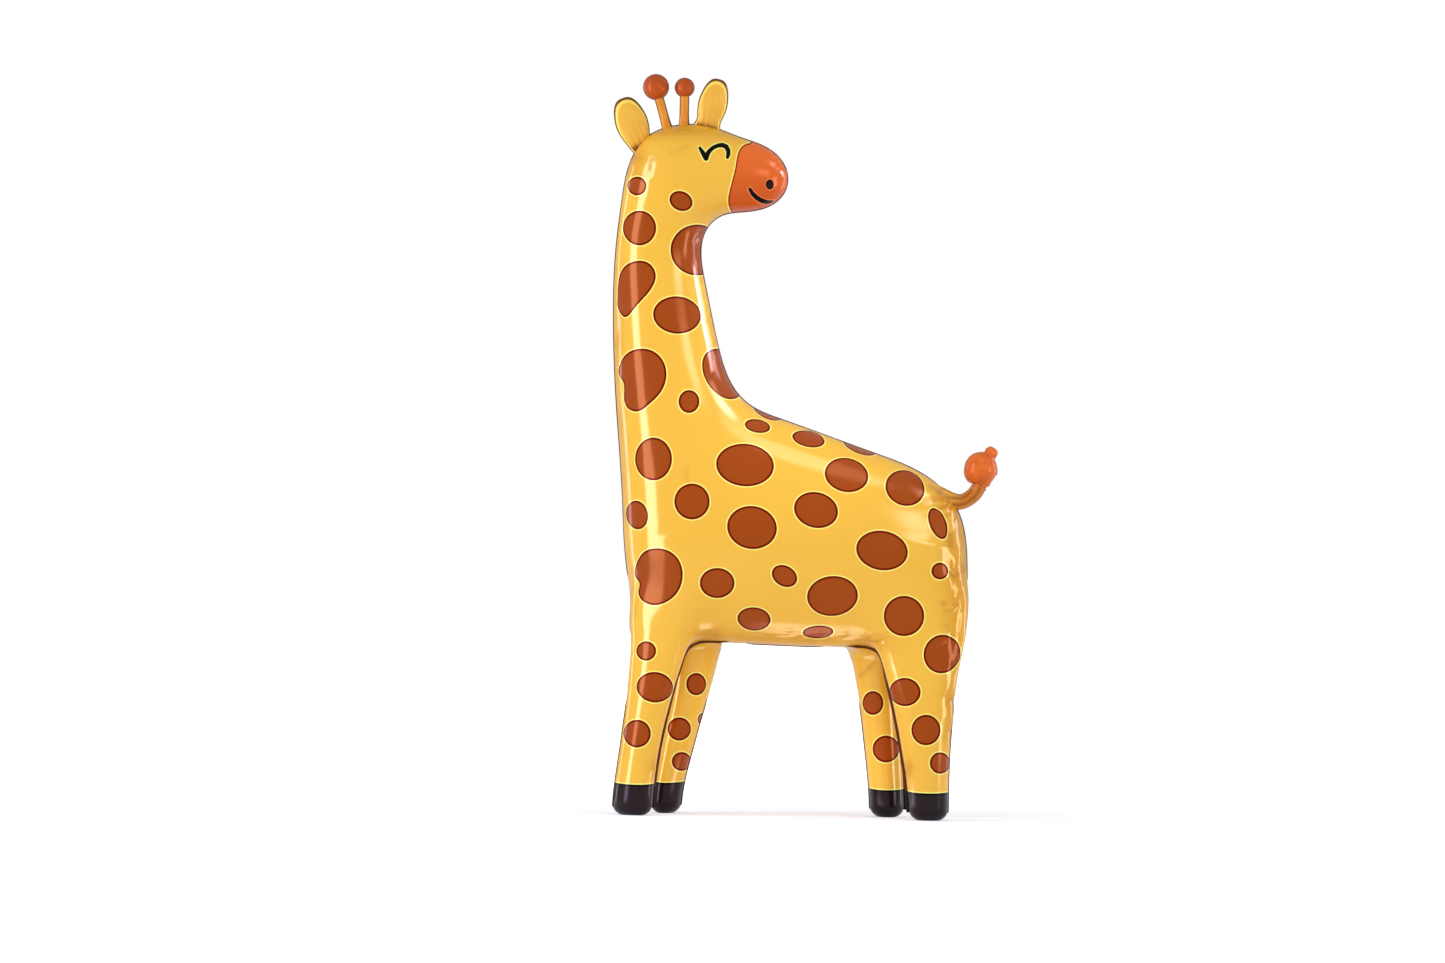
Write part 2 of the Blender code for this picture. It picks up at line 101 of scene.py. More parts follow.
def cubic(along, start, start_slope, end, end_slope):
    """Places on cubics at the given shares of the way, from their ends and their slopes there."""
    return (
        (2 * along**3 - 3 * along**2 + 1) * start
        + (along**3 - 2 * along**2 + along) * start_slope
        + (3 * along**2 - 2 * along**3) * end
        + (along**3 - along**2) * end_slope
    )


def closed_curve(points, steps):
    """Points along a closed curve through the given ones. Each span is a cubic, and the slopes at the given
    points solve one set of equations, which makes slope and bend agree from span to span."""
    knots = np.array(points, float)
    following = np.roll(knots, -1, axis=0)
    chord = np.linalg.norm(following - knots, axis=1)
    previous_chord = np.roll(chord, 1)
    rise = (following - knots) / chord[:, None]
    row = np.arange(len(knots))
    system = np.zeros((len(knots), len(knots)))
    system[row, row] = 2 * (previous_chord + chord)
    system[row, row - 1] = chord
    system[row, (row + 1) % len(knots)] = previous_chord
    wanted = 3 * (previous_chord[:, None] * rise + chord[:, None] * np.roll(rise, 1, axis=0))
    slope = np.linalg.solve(system, wanted)
    along = (np.arange(steps) / steps)[None, :, None]
    start_slope = (chord[:, None] * slope)[:, None, :]
    end_slope = (chord[:, None] * np.roll(slope, -1, axis=0))[:, None, :]
    curve = cubic(along, knots[:, None, :], start_slope, following[:, None, :], end_slope)
    return curve.reshape(-1, 2)


outline = closed_curve(BAG_OUTLINE, SPAN_STEPS) * MM + (SHIFT, 0)
print("outline of", len(outline), "points")

# %% [markdown]
# ## How thick the bag swells
#
# Air pushes the two panels apart. At the weld they meet, and the skin turns around a rim. Further in, it
# levels off. The square of the half thickness grows from the weld as twice the rim's radius times the
# inset, which gives a round rim, and levels off towards the square of the widest half thickness. The inset
# is a smooth stand-in for the distance to the weld. The exact distance has ridges, which gloss would show.

# %% Inset and swelling
BELLY_FULLNESS = 0.060
TORSO_FULLNESS = 0.097
NECK_FULLNESS = 0.083
NAPE_FULLNESS = 0.050
HEAD_FULLNESS = 0.062
FULLNESSES = (BELLY_FULLNESS, TORSO_FULLNESS, TORSO_FULLNESS, NECK_FULLNESS, NAPE_FULLNESS, HEAD_FULLNESS)
FULLNESS_LEVELS = (300, 400, 690, 860, 1010, 1160)
HEAD_BACK_EXTRA = 0.022
HEAD_BACK_SPAN = (-0.29, -0.17)
HEAD_BACK_RISE = (1.05, 1.15)
WIDEST_HALF_THICKNESS = 0.182
TABLE_CELL = 0.005
TABLE_MARGIN = 0.06
LEAST_SLOPE = 0.02
LEAST_REACH = 1e-9
LEAST_PRODUCT = 1e-15


def eased(levels, values, at):
    """A curve through values at levels, made of cubic spans, flat beyond both ends."""
    levels = np.array(levels, float)
    values = np.array(values, float)
    slopes = np.gradient(values, levels)
    slopes[0] = 0.0
    slopes[-1] = 0.0
    at = np.clip(at, levels[0], levels[-1])
    span = np.clip(np.searchsorted(levels, at, side="right") - 1, 0, len(levels) - 2)
    width = levels[span + 1] - levels[span]
    along = (at - levels[span]) / width
    return cubic(along, values[span], width * slopes[span], values[span + 1], width * slopes[span + 1])


def inset(x, z, line):
    """How far a point is inside a closed line, evened out far from its edges. Every edge adds
    (1/r1 + 1/r2) * tan(a/2), where r1 and r2 are the distances to its ends and a is the angle that it fills
    as seen from the point, and the inset is 2 divided by the sum."""
    pull = np.zeros(np.shape(x))
    for (start_x, start_z), (end_x, end_z) in zip(line, np.roll(line, -1, axis=0)):
        x1 = start_x - x
        z1 = start_z - z
        x2 = end_x - x
        z2 = end_z - z
        reach1 = np.hypot(x1, z1)
        reach2 = np.hypot(x2, z2)
        product = reach1 * reach2 + x1 * x2 + z1 * z2 + LEAST_PRODUCT
        half_angle_tangent = (z1 * x2 - x1 * z2) / product
        pull += (1 / (reach1 + LEAST_REACH) + 1 / (reach2 + LEAST_REACH)) * half_angle_tangent
    return 2 / pull


def fullness(x, z):
    """The radius of the rim at each place. Its curve over the height makes the torso thick and the head
    slim, and the back of the head gets a little more, by two eased steps that are multiplied."""
    back_of_head = eased(HEAD_BACK_SPAN, (HEAD_BACK_EXTRA, 0), x) * eased(HEAD_BACK_RISE, (0, 1), z)
    return eased(np.array(FULLNESS_LEVELS) * MM, FULLNESSES, z) + back_of_head


def swelling_table(line):
    """The square of the half thickness on a grid over the line, so that it is worked out only once."""
    low = line.min(axis=0) - TABLE_MARGIN
    high = line.max(axis=0) + TABLE_MARGIN
    across = np.arange(low[0], high[0], TABLE_CELL)
    up = np.arange(low[1], high[1], TABLE_CELL)
    x, z = np.meshgrid(across, up, indexing="ij")
    limit = WIDEST_HALF_THICKNESS**2
    return low, limit * (1 - np.exp(-2 * fullness(x, z) * inset(x, z, line) / limit))


def spline_weights(along):
    """The four weights of a cubic spline between grid lines, and how fast each changes."""
    weights = (
        (1 - along) ** 3 / 6,
        (3 * along**3 - 6 * along**2 + 4) / 6,
        (-3 * along**3 + 3 * along**2 + 3 * along + 1) / 6,
        along**3 / 6,
    )
    changes = (
        -((1 - along) ** 2) / 2,
        (3 * along**2 - 4 * along) / 2,
        (-3 * along**2 + 2 * along + 1) / 2,
        along**2 / 2,
    )
    return weights, changes


def read_table(table, x, z):
    """The value in the table at each point, with its slopes along x and z: a sum over the sixteen grid
    points around it, each times its spline weights."""
    low, values = table
    column = np.clip((x - low[0]) / TABLE_CELL, 1, values.shape[0] - 3)
    row = np.clip((z - low[1]) / TABLE_CELL, 1, values.shape[1] - 3)
    first_column = np.floor(column).astype(int)
    first_row = np.floor(row).astype(int)
    x_weights, x_changes = spline_weights(column - first_column)
    z_weights, z_changes = spline_weights(row - first_row)
    value = np.zeros(np.shape(x))
    slope_x = np.zeros(np.shape(x))
    slope_z = np.zeros(np.shape(x))
    for i, j in itertools.product(range(4), repeat=2):
        corner = values[first_column + i - 1, first_row + j - 1]
        value += x_weights[i] * z_weights[j] * corner
        slope_x += x_changes[i] * z_weights[j] * corner / TABLE_CELL
        slope_z += x_weights[i] * z_changes[j] * corner / TABLE_CELL
    return value, slope_x, slope_z


swelling = swelling_table(outline)
print("thickest place", round(2 * math.sqrt(swelling[1].max()) / MM), "mm")

# %% [markdown]
# ## Four legs that grow out of the bag
#
# The legs are slightly oval tubes, welded into the belly in two pairs, and each ends in a flat sole. Their
# middles and widths follow the drawing at six heights. A tube and the bag are joined where both distances
# are small, with the corner between them filled, which is what taut film does at a hip. The near front leg's
# corner is filled most on the tail side, where the film draws a wide arch.

# %% Distance from the skin
LEG_LEVELS = (0, 140, 210, 280, 390, 470)
NEAR_FRONT_LEG = ((-298, -284, -272, -261, -252, -248), (36, 36, 40, 46, 46, 32))
FAR_FRONT_LEG = ((-239, -217, -201, -188, -176, -170), (28, 32, 35, 40, 44, 32))
NEAR_REAR_LEG = ((233, 225, 220, 215, 207, 200), (35, 45, 55, 68, 76, 56))
FAR_REAR_LEG = ((161, 151, 144, 135, 124, 116), (31, 34, 37, 42, 48, 36))
LEG_DEPTH = 0.074
LEG_SPACING = 0.128
HIP_SPACING = 0.090
HIP_REACH = 0.03
FRONT_HIP_ROUNDING = 0.025
FRONT_ARCH_ROUNDING = 0.060
REAR_HIP_ROUNDING = 0.048
SOLE_ROUNDING = 0.020
NEAR_FRONT_SLANT = 0.2
FAR_FRONT_SLANT = -0.3
# Each row is a leg, its side, its slant and the rounding of its hip towards the chest and towards the tail
LEGS = (
    (NEAR_FRONT_LEG, -1, NEAR_FRONT_SLANT, (FRONT_HIP_ROUNDING, FRONT_ARCH_ROUNDING)),
    (FAR_FRONT_LEG, 1, FAR_FRONT_SLANT, (FRONT_HIP_ROUNDING, FRONT_HIP_ROUNDING)),
    (NEAR_REAR_LEG, -1, 0.0, (REAR_HIP_ROUNDING, REAR_HIP_ROUNDING)),
    (FAR_REAR_LEG, 1, 0.0, (REAR_HIP_ROUNDING, REAR_HIP_ROUNDING)),
)


def leg_offset(z):
    """How far a leg's middle is from the middle plane at each height."""
    levels = np.array(LEG_LEVELS) * MM
    return eased(levels[[0, 2, 5]], (LEG_SPACING / 2, LEG_SPACING / 2, HIP_SPACING / 2), z)


def leg_distance(x, y, z, leg, side, slant):
    """Distance from an oval tube with a flat sole. Across the tube it is the reach in half widths, less one,
    divided by that reach's slope. A slant shears the oval, which turns its broad face. Around the sole it is
    the distance from a corner with a round edge."""
    levels = np.array(LEG_LEVELS) * MM
    middles, half_widths = np.array(leg) * MM
    half_width = eased(levels, half_widths, z)
    half_depth = eased(levels[[0, 3, 5]], (LEG_DEPTH / 2, LEG_DEPTH / 2, LEG_DEPTH / 3), z)
    aside = x - SHIFT - eased(levels, middles, z)
    across = aside / half_width
    deep = (y - side * leg_offset(z) + slant * aside) / half_depth
    reach = np.sqrt(across**2 + deep**2)
    slope = np.sqrt((across / half_width + slant * deep / half_depth) ** 2 + (deep / half_depth) ** 2)
    wall_corner = (reach - 1) * reach / np.maximum(slope, LEAST_SLOPE) + SOLE_ROUNDING
    sole_corner = SOLE_ROUNDING - z
    outside = np.hypot(np.maximum(wall_corner, 0), np.maximum(sole_corner, 0))
    inside = np.minimum(np.maximum(wall_corner, sole_corner), 0)
    return np.maximum(outside + inside - SOLE_ROUNDING, z - levels[-1])


def blended(one, other, rounding):
    """The smaller of two distances, with the corner between them filled over the given rounding."""
    share = np.clip(0.5 + 0.5 * (other - one) / rounding, 0, 1)
    return other + (one - other) * share - rounding * share * (1 - share)


def skin_distance(points):
    """Distance from the balloon's skin: the swollen bag joined to the legs. For the bag it is the square of
    y less the square of the half thickness, divided by the length of that difference's slope."""
    x, y, z = points
    swell, slope_x, slope_z = read_table(swelling, x, z)
    steepness = np.sqrt(4 * y**2 + slope_x**2 + slope_z**2)
    distance = (y**2 - swell) / np.maximum(steepness, LEAST_SLOPE)
    for leg, side, slant, roundings in LEGS:
        middle = leg[0][-1] * MM + SHIFT
        rounding = eased((middle - HIP_REACH, middle + HIP_REACH), roundings, x)
        distance = blended(distance, leg_distance(x, y, z, leg, side, slant), rounding)
    return distance


# %% [markdown]
# ## A net around the balloon
#
# The bag alone could be a height over the side view, but the legs in a pair hide one another there, so one
# height isn't enough. The skin is instead the place where the distance is zero. A grid of small cells
# is laid over the balloon. Every cell that the skin passes gets one point, neighbouring cells are joined
# by quads, and the points are then evened out and brought onto the skin. All of it is done on whole arrays.

# %% Net the skin
SKIN_CELL = 0.0042
SETTLING_ROUNDS = 6
PROBE = 1e-4
GRID_SPARE = 0.03


def net_around(distance, axes):
    """A net of quads around the space where the distance is below zero. The point in a cell is the mean of
    the places where the cell's edges cross zero, and each crossed grid edge gives the quad around it."""
    grid = np.stack(np.meshgrid(*axes, indexing="ij"))
    value = distance(grid)
    inside = value < 0
    shape = np.array(inside.shape) - 1

    def corner(array, offset):
        i, j, k = offset
        return array[..., i : i + shape[0], j : j + shape[1], k : k + shape[2]]

    offsets = list(itertools.product((0, 1), repeat=3))
    filled = sum(corner(inside, offset).astype(int) for offset in offsets)
    crossed = (filled > 0) & (filled < len(offsets))
    number = np.full(shape, -1)
    number[crossed] = np.arange(crossed.sum())
    total = np.zeros((3, crossed.sum()))
    crossings = np.zeros(crossed.sum())
    for first, second in itertools.combinations(offsets, 2):
        if sum(abs(a - b) for a, b in zip(first, second)) != 1:
            continue
        start = corner(value, first)[crossed]
        end = corner(value, second)[crossed]
        cut = (start < 0) != (end < 0)
        share = np.where(cut, start / np.where(cut, start - end, 1), 0)
        start_place = corner(grid, first)[:, crossed]
        end_place = corner(grid, second)[:, crossed]
        total += np.where(cut, start_place + share * (end_place - start_place), 0)
        crossings += cut
    points = (total / crossings).T
    quads = []
    for axis in range(3):
        cut = inside != np.roll(inside, -1, axis=axis)
        index = np.argwhere(cut)
        side_axes = [other for other in range(3) if other != axis]
        usable = index[:, axis] < shape[axis]
        for other in side_axes:
            usable &= (index[:, other] > 0) & (index[:, other] < shape[other])
        index = index[usable]
        corners = []
        for back_one, back_other in ((0, 0), (1, 0), (1, 1), (0, 1)):
            cell = index.copy()
            cell[:, side_axes[0]] -= back_one
            cell[:, side_axes[1]] -= back_other
            corners.append(number[tuple(cell.T)])
        quad = np.stack(corners, axis=1)
        leaves = inside[tuple(index.T)]
        turn = leaves if axis != 1 else ~leaves
        quad[turn] = quad[turn][:, ::-1]
        quads.append(quad[:, ::-1])
    return points, np.concatenate(quads)


def slope_of(distance, points):
    """The distance at each point, and its slope as a vector, from three points a probe's length away."""
    value = distance(points.T)
    rises = [distance(points.T + PROBE * unit[:, None]) - value for unit in np.eye(3)]
    return value, np.stack(rises, axis=1) / PROBE


def settled(points, quads, distance, cell):
    """The net with each point drawn halfway to the mean of its neighbours and then brought onto the skin
    against the slope, several times over."""
    edges = np.concatenate([quads[:, [0, 1]], quads[:, [1, 2]], quads[:, [2, 3]], quads[:, [3, 0]]])
    neighbours = np.bincount(edges[:, 0], minlength=len(points))
    for round_number in range(SETTLING_ROUNDS + 2):
        if round_number < SETTLING_ROUNDS:
            sums = [np.bincount(edges[:, 0], points[edges[:, 1], axis], len(points)) for axis in range(3)]
            points = 0.5 * points + 0.5 * np.stack(sums, axis=1) / neighbours[:, None]
        value, slope = slope_of(distance, points)
        push = value[:, None] * slope / np.maximum((slope**2).sum(axis=1), LEAST_SLOPE**2)[:, None]
        length = np.linalg.norm(push, axis=1, keepdims=True)
        points = points - push * np.minimum(1, cell / 2 / np.maximum(length, PROBE))
    return points


half_depth = (LEG_SPACING + LEG_DEPTH) / 2 + GRID_SPARE
grid_axes = (
    np.arange(outline[:, 0].min() - 2 * SKIN_CELL, outline[:, 0].max() + 2 * SKIN_CELL, SKIN_CELL),
    np.arange(-half_depth, half_depth, SKIN_CELL),
    np.arange(-2.5 * SKIN_CELL, outline[:, 1].max() + 2 * SKIN_CELL, SKIN_CELL),
)
skin_points, skin_quads = net_around(skin_distance, grid_axes)
skin_points = settled(skin_points, skin_quads, skin_distance, SKIN_CELL)
print("skin of", len(skin_points), "points and", len(skin_quads), "quads")

# %% [markdown]
# ## Where the print lands
#
# The panels are printed flat and welded afterwards, so a spot keeps its outline as seen from the side, and
# wraps around the rim up to the weld. The artwork is therefore laid out on the side view, in its own
# units: 1.8 mm each, to the right and downwards. Every point of the skin gets its place on the artwork, kept
# as a UV map. The side view is taken from sixteen metres away, and tilted by one degree.

# %% The artwork's plane
UNIT = 1.8 * MM
TILT = math.atan(0.018675)
VIEW_DISTANCE = 16.0
VIEW_POINT = np.array((-0.1471 + SHIFT, -VIEW_DISTANCE, 0.6005))
SHEET_MIDDLE = np.array((722.5, 481.5))
SHEET_SCALE = 0.001


def artwork_place(points):
    """Where points land on the artwork, in its units: their offset from the line of sight, turned by the
    tilt, and scaled by the view's distance over their own."""
    right = points[:, 0] - VIEW_POINT[0]
    up = points[:, 2] - VIEW_POINT[2]
    nearness = VIEW_DISTANCE / (points[:, 1] - VIEW_POINT[1]) / UNIT
    across = (right * math.cos(TILT) + up * math.sin(TILT)) * nearness
    down = (right * math.sin(TILT) - up * math.cos(TILT)) * nearness
    return SHEET_MIDDLE[0] + across, SHEET_MIDDLE[1] + down


skin_across, skin_down = artwork_place(skin_points)
_, skin_slope = slope_of(skin_distance, skin_points)
skin_normals = skin_slope / np.linalg.norm(skin_slope, axis=1, keepdims=True)
print("artwork spans", np.ptp(skin_across).round(), "by", np.ptp(skin_down).round(), "units")

# %% [markdown]
# ## The spots
#
# Each spot is a slightly tilted oval. A shader could draw fifty ovals, but it would be slow. The distance
# to the nearest spot's edge is worked out here for every point instead and kept as an attribute, and the
# shader turns it into a brown fill, a dark rim and a pale line around it. The distance is measured along the
# skin: where the skin turns away from the side view, the flat distance is stretched by that slant.

# %% Spot shapes
# Each row is a middle (across, down), two half widths and a turn in degrees, all on the artwork
BAG_SPOTS = (
    (637, 186, 9.5, 9.5, 0), (681, 201, 12, 9.7, 25), (639.5, 228, 16.7, 17.5, 0), (697, 250, 26.5, 25.5, 0),
    (677, 315, 24, 18.7, 5), (723.5, 374, 27.5, 18.5, 58), (689, 401.5, 10.5, 11.5, 0),
    (769, 407.5, 19, 11.5, 27), (757.5, 426, 13, 6.8, 10), (808.5, 439, 16.5, 8, 12),
    (860, 445, 19, 8.6, 22), (653.5, 459, 18.5, 21.5, 0), (745, 465, 29, 21.3, 5), (846.5, 475, 22, 17, 12),
    (905, 488, 20, 17.5, 25), (692, 501.5, 17.7, 18, 0), (637, 515, 11, 14.5, -10),
    (752, 527.5, 25, 21.5, 10), (816, 510, 22.3, 17.8, 15), (938, 523.5, 16.5, 8.5, 68),
    (882, 550.5, 26, 19.7, 10), (717.2, 583, 17.4, 15.1, 0), (784.5, 576, 13.5, 10.3, 30),
    (940, 571, 8.7, 8.5, 0), (832.5, 596, 25.5, 20, -5), (904, 616, 20.3, 20.2, 0),
    (754, 619, 16.7, 11.7, 5),
    (818, 632, 15.5, 6.5, -3), (646.2, 651, 10, 9.8, 0),
)
# Three spots on the chest aren't ovals. Each is a closed curve through these points, clockwise
TEARDROP_SPOT = (
    (639, 260.6), (649.5, 263.5), (655.8, 275), (653, 286), (642, 300), (632.5, 311), (625, 317.3),
    (619.3, 312), (617.6, 296), (618.4, 281), (624.5, 266.5),
)
NECK_SPOT = (
    (641, 348.5), (654, 351.5), (664, 362.5), (666.4, 377), (661, 392), (649, 404.5), (636, 411.7),
    (627, 407.5), (624, 394), (622.6, 381), (619.6, 376.5), (620, 364), (627.5, 353),
)
CHEST_SPOT = (
    (659, 548.3), (671, 552), (680, 562), (682.6, 578), (677.5, 592.5), (666.5, 602), (653.5, 605.2),
    (642.5, 600.8), (638.3, 591), (639.5, 583), (635.6, 578), (636, 565), (644, 551.8),
)
NEAR_LEG_SPOTS = (
    (942, 654, 18.3, 19.5, 20), (654.8, 687.2, 18.4, 15.3, 5), (905, 692, 15.7, 14.2, 5),
    (637.1, 733.6, 13.8, 14, 0), (926, 730, 14.7, 15.3, 0), (940, 763, 10.3, 10.8, 0),
)
FAR_LEG_SPOTS = (
    (696.2, 684.1, 10, 11.2, 0), (679.3, 729, 11.7, 11.7, 0), (704, 719.5, 6.5, 7, 0),
    (681.6, 761.4, 9.9, 9.5, 0), (873, 703, 10.5, 12, 0), (886, 749, 13.5, 13.5, 0), (925, 660, 15, 14, 0),
)
LEAST_SLANT = 0.25
NEARLY_ZERO = 1e-6
FAR_FROM_SPOTS = 1.0


def oval_distance(across, down, spot):
    """Distance from an oval and its direction: the reach in half widths, less one, divided by its slope."""
    middle_across, middle_down, half_long, half_short, turn = spot
    cosine = math.cos(math.radians(turn))
    sine = math.sin(math.radians(turn))
    along = ((across - middle_across) * cosine + (down - middle_down) * sine) / half_long
    aside = ((down - middle_down) * cosine - (across - middle_across) * sine) / half_short
    reach = np.hypot(along, aside)
    slope = np.maximum(np.hypot(along / half_long, aside / half_short), NEARLY_ZERO)
    distance = reach * (reach - 1) / slope
    toward_across = (along / half_long * cosine - aside / half_short * sine) / slope
    toward_down = (along / half_long * sine + aside / half_short * cosine) / slope
    return distance, toward_across, toward_down


def part_offsets(across, down, line):
    """For each part of an open line its two ends, and how far every place is from the nearest point of the
    part: to the right, downwards and in all."""
    for start, end in zip(line, line[1:]):
        way = end - start
        share = ((across - start[0]) * way[0] + (down - start[1]) * way[1]) / (way @ way)
        share = np.clip(share, 0, 1)
        right = across - start[0] - share * way[0]
        under = down - start[1] - share * way[1]
        yield start, end, right, under, np.hypot(right, under)


def drawn_distance(across, down, points):
    """Distance from a closed curve and its direction: the offset from the nearest part of the curve, below
    zero where a level line from the place crosses the curve an odd number of times."""
    curve = closed_curve(points, SPAN_STEPS)
    nearest = np.full(len(across), np.inf)
    toward_across = np.zeros(len(across))
    toward_down = np.zeros(len(across))
    inside = np.zeros(len(across), bool)
    for start, end, right, under, reach in part_offsets(across, down, np.vstack([curve, curve[:1]])):
        reach = np.maximum(reach, NEARLY_ZERO)
        closer = reach < nearest
        nearest = np.where(closer, reach, nearest)
        toward_across = np.where(closer, right / reach, toward_across)
        toward_down = np.where(closer, under / reach, toward_down)
        if start[1] != end[1]:
            crossed = (start[1] > down) != (end[1] > down)
            meeting = start[0] + (down - start[1]) * (end[0] - start[0]) / (end[1] - start[1])
            inside ^= crossed & (across < meeting)
    return np.where(inside, -nearest, nearest), toward_across, toward_down


def nearest_spot(across, down, normals, spots):
    """The least distance to a spot's edge along the skin, in metres. A flat distance grows by one over the
    share of its direction that lies in the skin."""
    nearest = np.full(len(across), FAR_FROM_SPOTS)
    for shape, spot in spots:
        distance, toward_across, toward_down = shape(across, down, spot)
        facing = normals[:, 0] * toward_across - normals[:, 2] * toward_down
        slant = np.sqrt(np.maximum(1 - facing**2, LEAST_SLANT**2))
        nearest = np.minimum(nearest, distance * UNIT / slant)
    return nearest


bag_shapes = [(oval_distance, spot) for spot in BAG_SPOTS]
bag_shapes += [(drawn_distance, spot) for spot in (TEARDROP_SPOT, NECK_SPOT, CHEST_SPOT)]
near_shapes = bag_shapes + [(oval_distance, spot) for spot in NEAR_LEG_SPOTS]
far_shapes = bag_shapes + [(oval_distance, spot) for spot in FAR_LEG_SPOTS]
spot_edge = np.where(
    skin_points[:, 1] < 0,
    nearest_spot(skin_across, skin_down, skin_normals, near_shapes),
    nearest_spot(skin_across, skin_down, skin_normals, far_shapes),
)
print("spots cover", round(100 * (spot_edge < 0).mean()), "percent of the skin's points")

# %% [markdown]
# ## Lines on the artwork
#
# The hem of the film and the edge of the muzzle are bent lines on the artwork. Both need a smooth line
# through a few points and the distance from it, with a sign that tells its two sides apart.

# %% Smooth lines and their sides
def side_of_line(across, down, line):
    """Distance from an open line of several points, below zero on its right as it goes: the least distance
    to its parts, with the sign of the part that is nearest."""
    nearest = np.full(len(across), np.inf)
    signed = np.zeros(len(across))
    for start, end, right, under, reach in part_offsets(across, down, np.array(line, float)):
        turn = right * (end[1] - start[1]) - under * (end[0] - start[0])
        closer = reach < nearest
        nearest = np.where(closer, reach, nearest)
        signed = np.where(closer, -reach * np.sign(turn), signed)
    return signed


def smooth_line(points, steps):
    """An open line through the points. Each span is a cubic whose slopes are taken from its neighbours."""
    knots = np.array(points, float)
    at = np.linspace(0, len(knots) - 1, steps * (len(knots) - 1) + 1)
    slopes = np.gradient(knots, axis=0)
    span = np.minimum(at.astype(int), len(knots) - 2)
    return cubic((at - span)[:, None], knots[span], slopes[span], knots[span + 1], slopes[span + 1])


# %% [markdown]
# ## A hem, creases and crumples
#
# Film doesn't stretch. Where a flat panel is bent round a rim, its spare length gathers in folds along
# the weld, and at the rump and in the corners it crumples. A hem runs around the arch between the legs,
# because the film is pulled tight there. These are pressed into the mesh along its normals, as
# real shape, since a glossy skin shows them by its reflections and not by its shadows.

# %% The hem and single folds
HEM_LINE = (
    (650, 800), (656, 782), (659, 754), (666, 720), (674, 687), (680, 670), (687, 650), (694, 643),
    (707, 640), (735, 643.5), (800, 645.5), (848, 648.5), (866, 651), (876, 657), (882, 667), (888, 687),
    (894, 711), (899, 734), (903, 761), (906, 789), (908, 800),
)
RIDGE_HEIGHT = 1.3
RIDGE_PLACE = 9.0
RIDGE_WIDTH = 5.0
VALLEY_DEPTH = 2.6
VALLEY_PLACE = 19.0
VALLEY_WIDTH = 5.5
HEM_STEPS = 6
HEM_END = 700
HEM_END_FADE = 50
FAN_WANDER = 0.6
FAN_WANDER_PACE = 0.5
FAN_POINT_REACH = 3
CREASE_SWAY = 0.8
CREASE_SWAY_LENGTH = 4
CREASE_END_FADE = 5
CREASE_RIDGE_SHARE = 0.6
CREASE_RIDGE_PLACE = 1.6
# Each row is a middle (across, down), the way the folds point, their reach, how many fill a turn and
# a height
FANS = (
    (867, 648, -75, 15, 13, 1.5), (716, 645, -60, 11, 11, 1.0), (907, 772, 160, 8, 9, 0.8),
    (655, 768, 180, 9, 9, 0.8), (957, 497, 200, 24, 13, 1.5),
    (704, 233, 200, 10, 8, 0.8), (965, 604, 180, 13, 9, 1.3), (877, 655, 70, 10, 9, 0.9),
)
# Each row is a line (across, down, across, down), half its width and its depth
CREASES = (
    (940, 602, 958, 605, 3.4, 1.4), (946, 612, 956, 606, 3.0, 1.0), (687, 466, 689, 503, 3.5, 0.55),
    (655, 156, 648, 178, 3.5, 0.8), (697, 236, 699, 258, 3.2, 1.3), (951, 560, 960, 640, 3.8, 1.0),
    (943, 520, 956, 556, 3.6, 1.1), (941, 640, 955, 634, 3.2, 0.8), (949, 690, 955, 706, 3.0, 0.8),
    (633, 560, 636, 618, 3.5, 0.4), (930, 484, 944, 498, 3.4, 1.0), (646, 170, 641, 196, 3.4, 0.5),
    (668, 152, 690, 145, 4.0, 0.4), (936, 486, 950, 496, 3.0, 0.9),
)
FAR_CREASE = (857, 676, 878, 662, 3.2, 0.9)


def bell(distance, width):
    """A smooth hump of height 1: e to the minus square of the distance in widths."""
    return np.exp(-((distance / width) ** 2))


def hem_press(away, down):
    """A ridge beside the hem line and a valley further in, both humps of the distance from the line, fading
    out down the legs."""
    ridge = RIDGE_HEIGHT * bell(away - RIDGE_PLACE, RIDGE_WIDTH)
    valley = VALLEY_DEPTH * bell(away - VALLEY_PLACE, VALLEY_WIDTH)
    return (ridge - valley) * np.clip((HEM_END - down) / HEM_END_FADE, 0, 1)


def fan_press(across, down, fan):
    """Folds that spread from a point: a cosine of the direction, strongest the way that the folds point and
    fading with distance both outwards and towards the point."""
    middle_across, middle_down, way, reach, count, height = fan
    right = across - middle_across
    under = down - middle_down
    distance = np.hypot(right, under)
    direction = np.arctan2(-under, right) - math.radians(way)
    ahead = np.clip(np.cos(direction), 0, 1) ** 0.5
    wander = FAN_WANDER * np.sin(FAN_WANDER_PACE * distance + middle_across)
    folds = height * np.cos(count * direction + wander) * ahead
    return folds * bell(distance, reach) * distance / (distance + FAN_POINT_REACH)


def crease_press(across, down, crease):
    """A sharp valley along a line that sways a little, with a lower ridge beside it, fading towards both
    ends."""
    x1, y1, x2, y2, half_width, depth = crease
    length = math.hypot(x2 - x1, y2 - y1)
    along = ((across - x1) * (x2 - x1) + (down - y1) * (y2 - y1)) / length
    aside = ((across - x1) * (y2 - y1) - (down - y1) * (x2 - x1)) / length
    aside = aside + CREASE_SWAY * np.sin(along / CREASE_SWAY_LENGTH)
    ridge = CREASE_RIDGE_SHARE * bell(aside - CREASE_RIDGE_PLACE * half_width, half_width)
    fade = np.clip(np.minimum(along, length - along) / CREASE_END_FADE + 0.5, 0, 1)
    return depth * (ridge - bell(aside, half_width)) * fade


# %% [markdown]
# A crumple has no plan: flat facets meet in sharp lines that run every way. Smooth random heights with their
# sign taken off do this, because they have a sharp valley wherever they pass zero. Two sizes of them are
# added, stretched along the weld, and each patch of the skin gets its own strength.

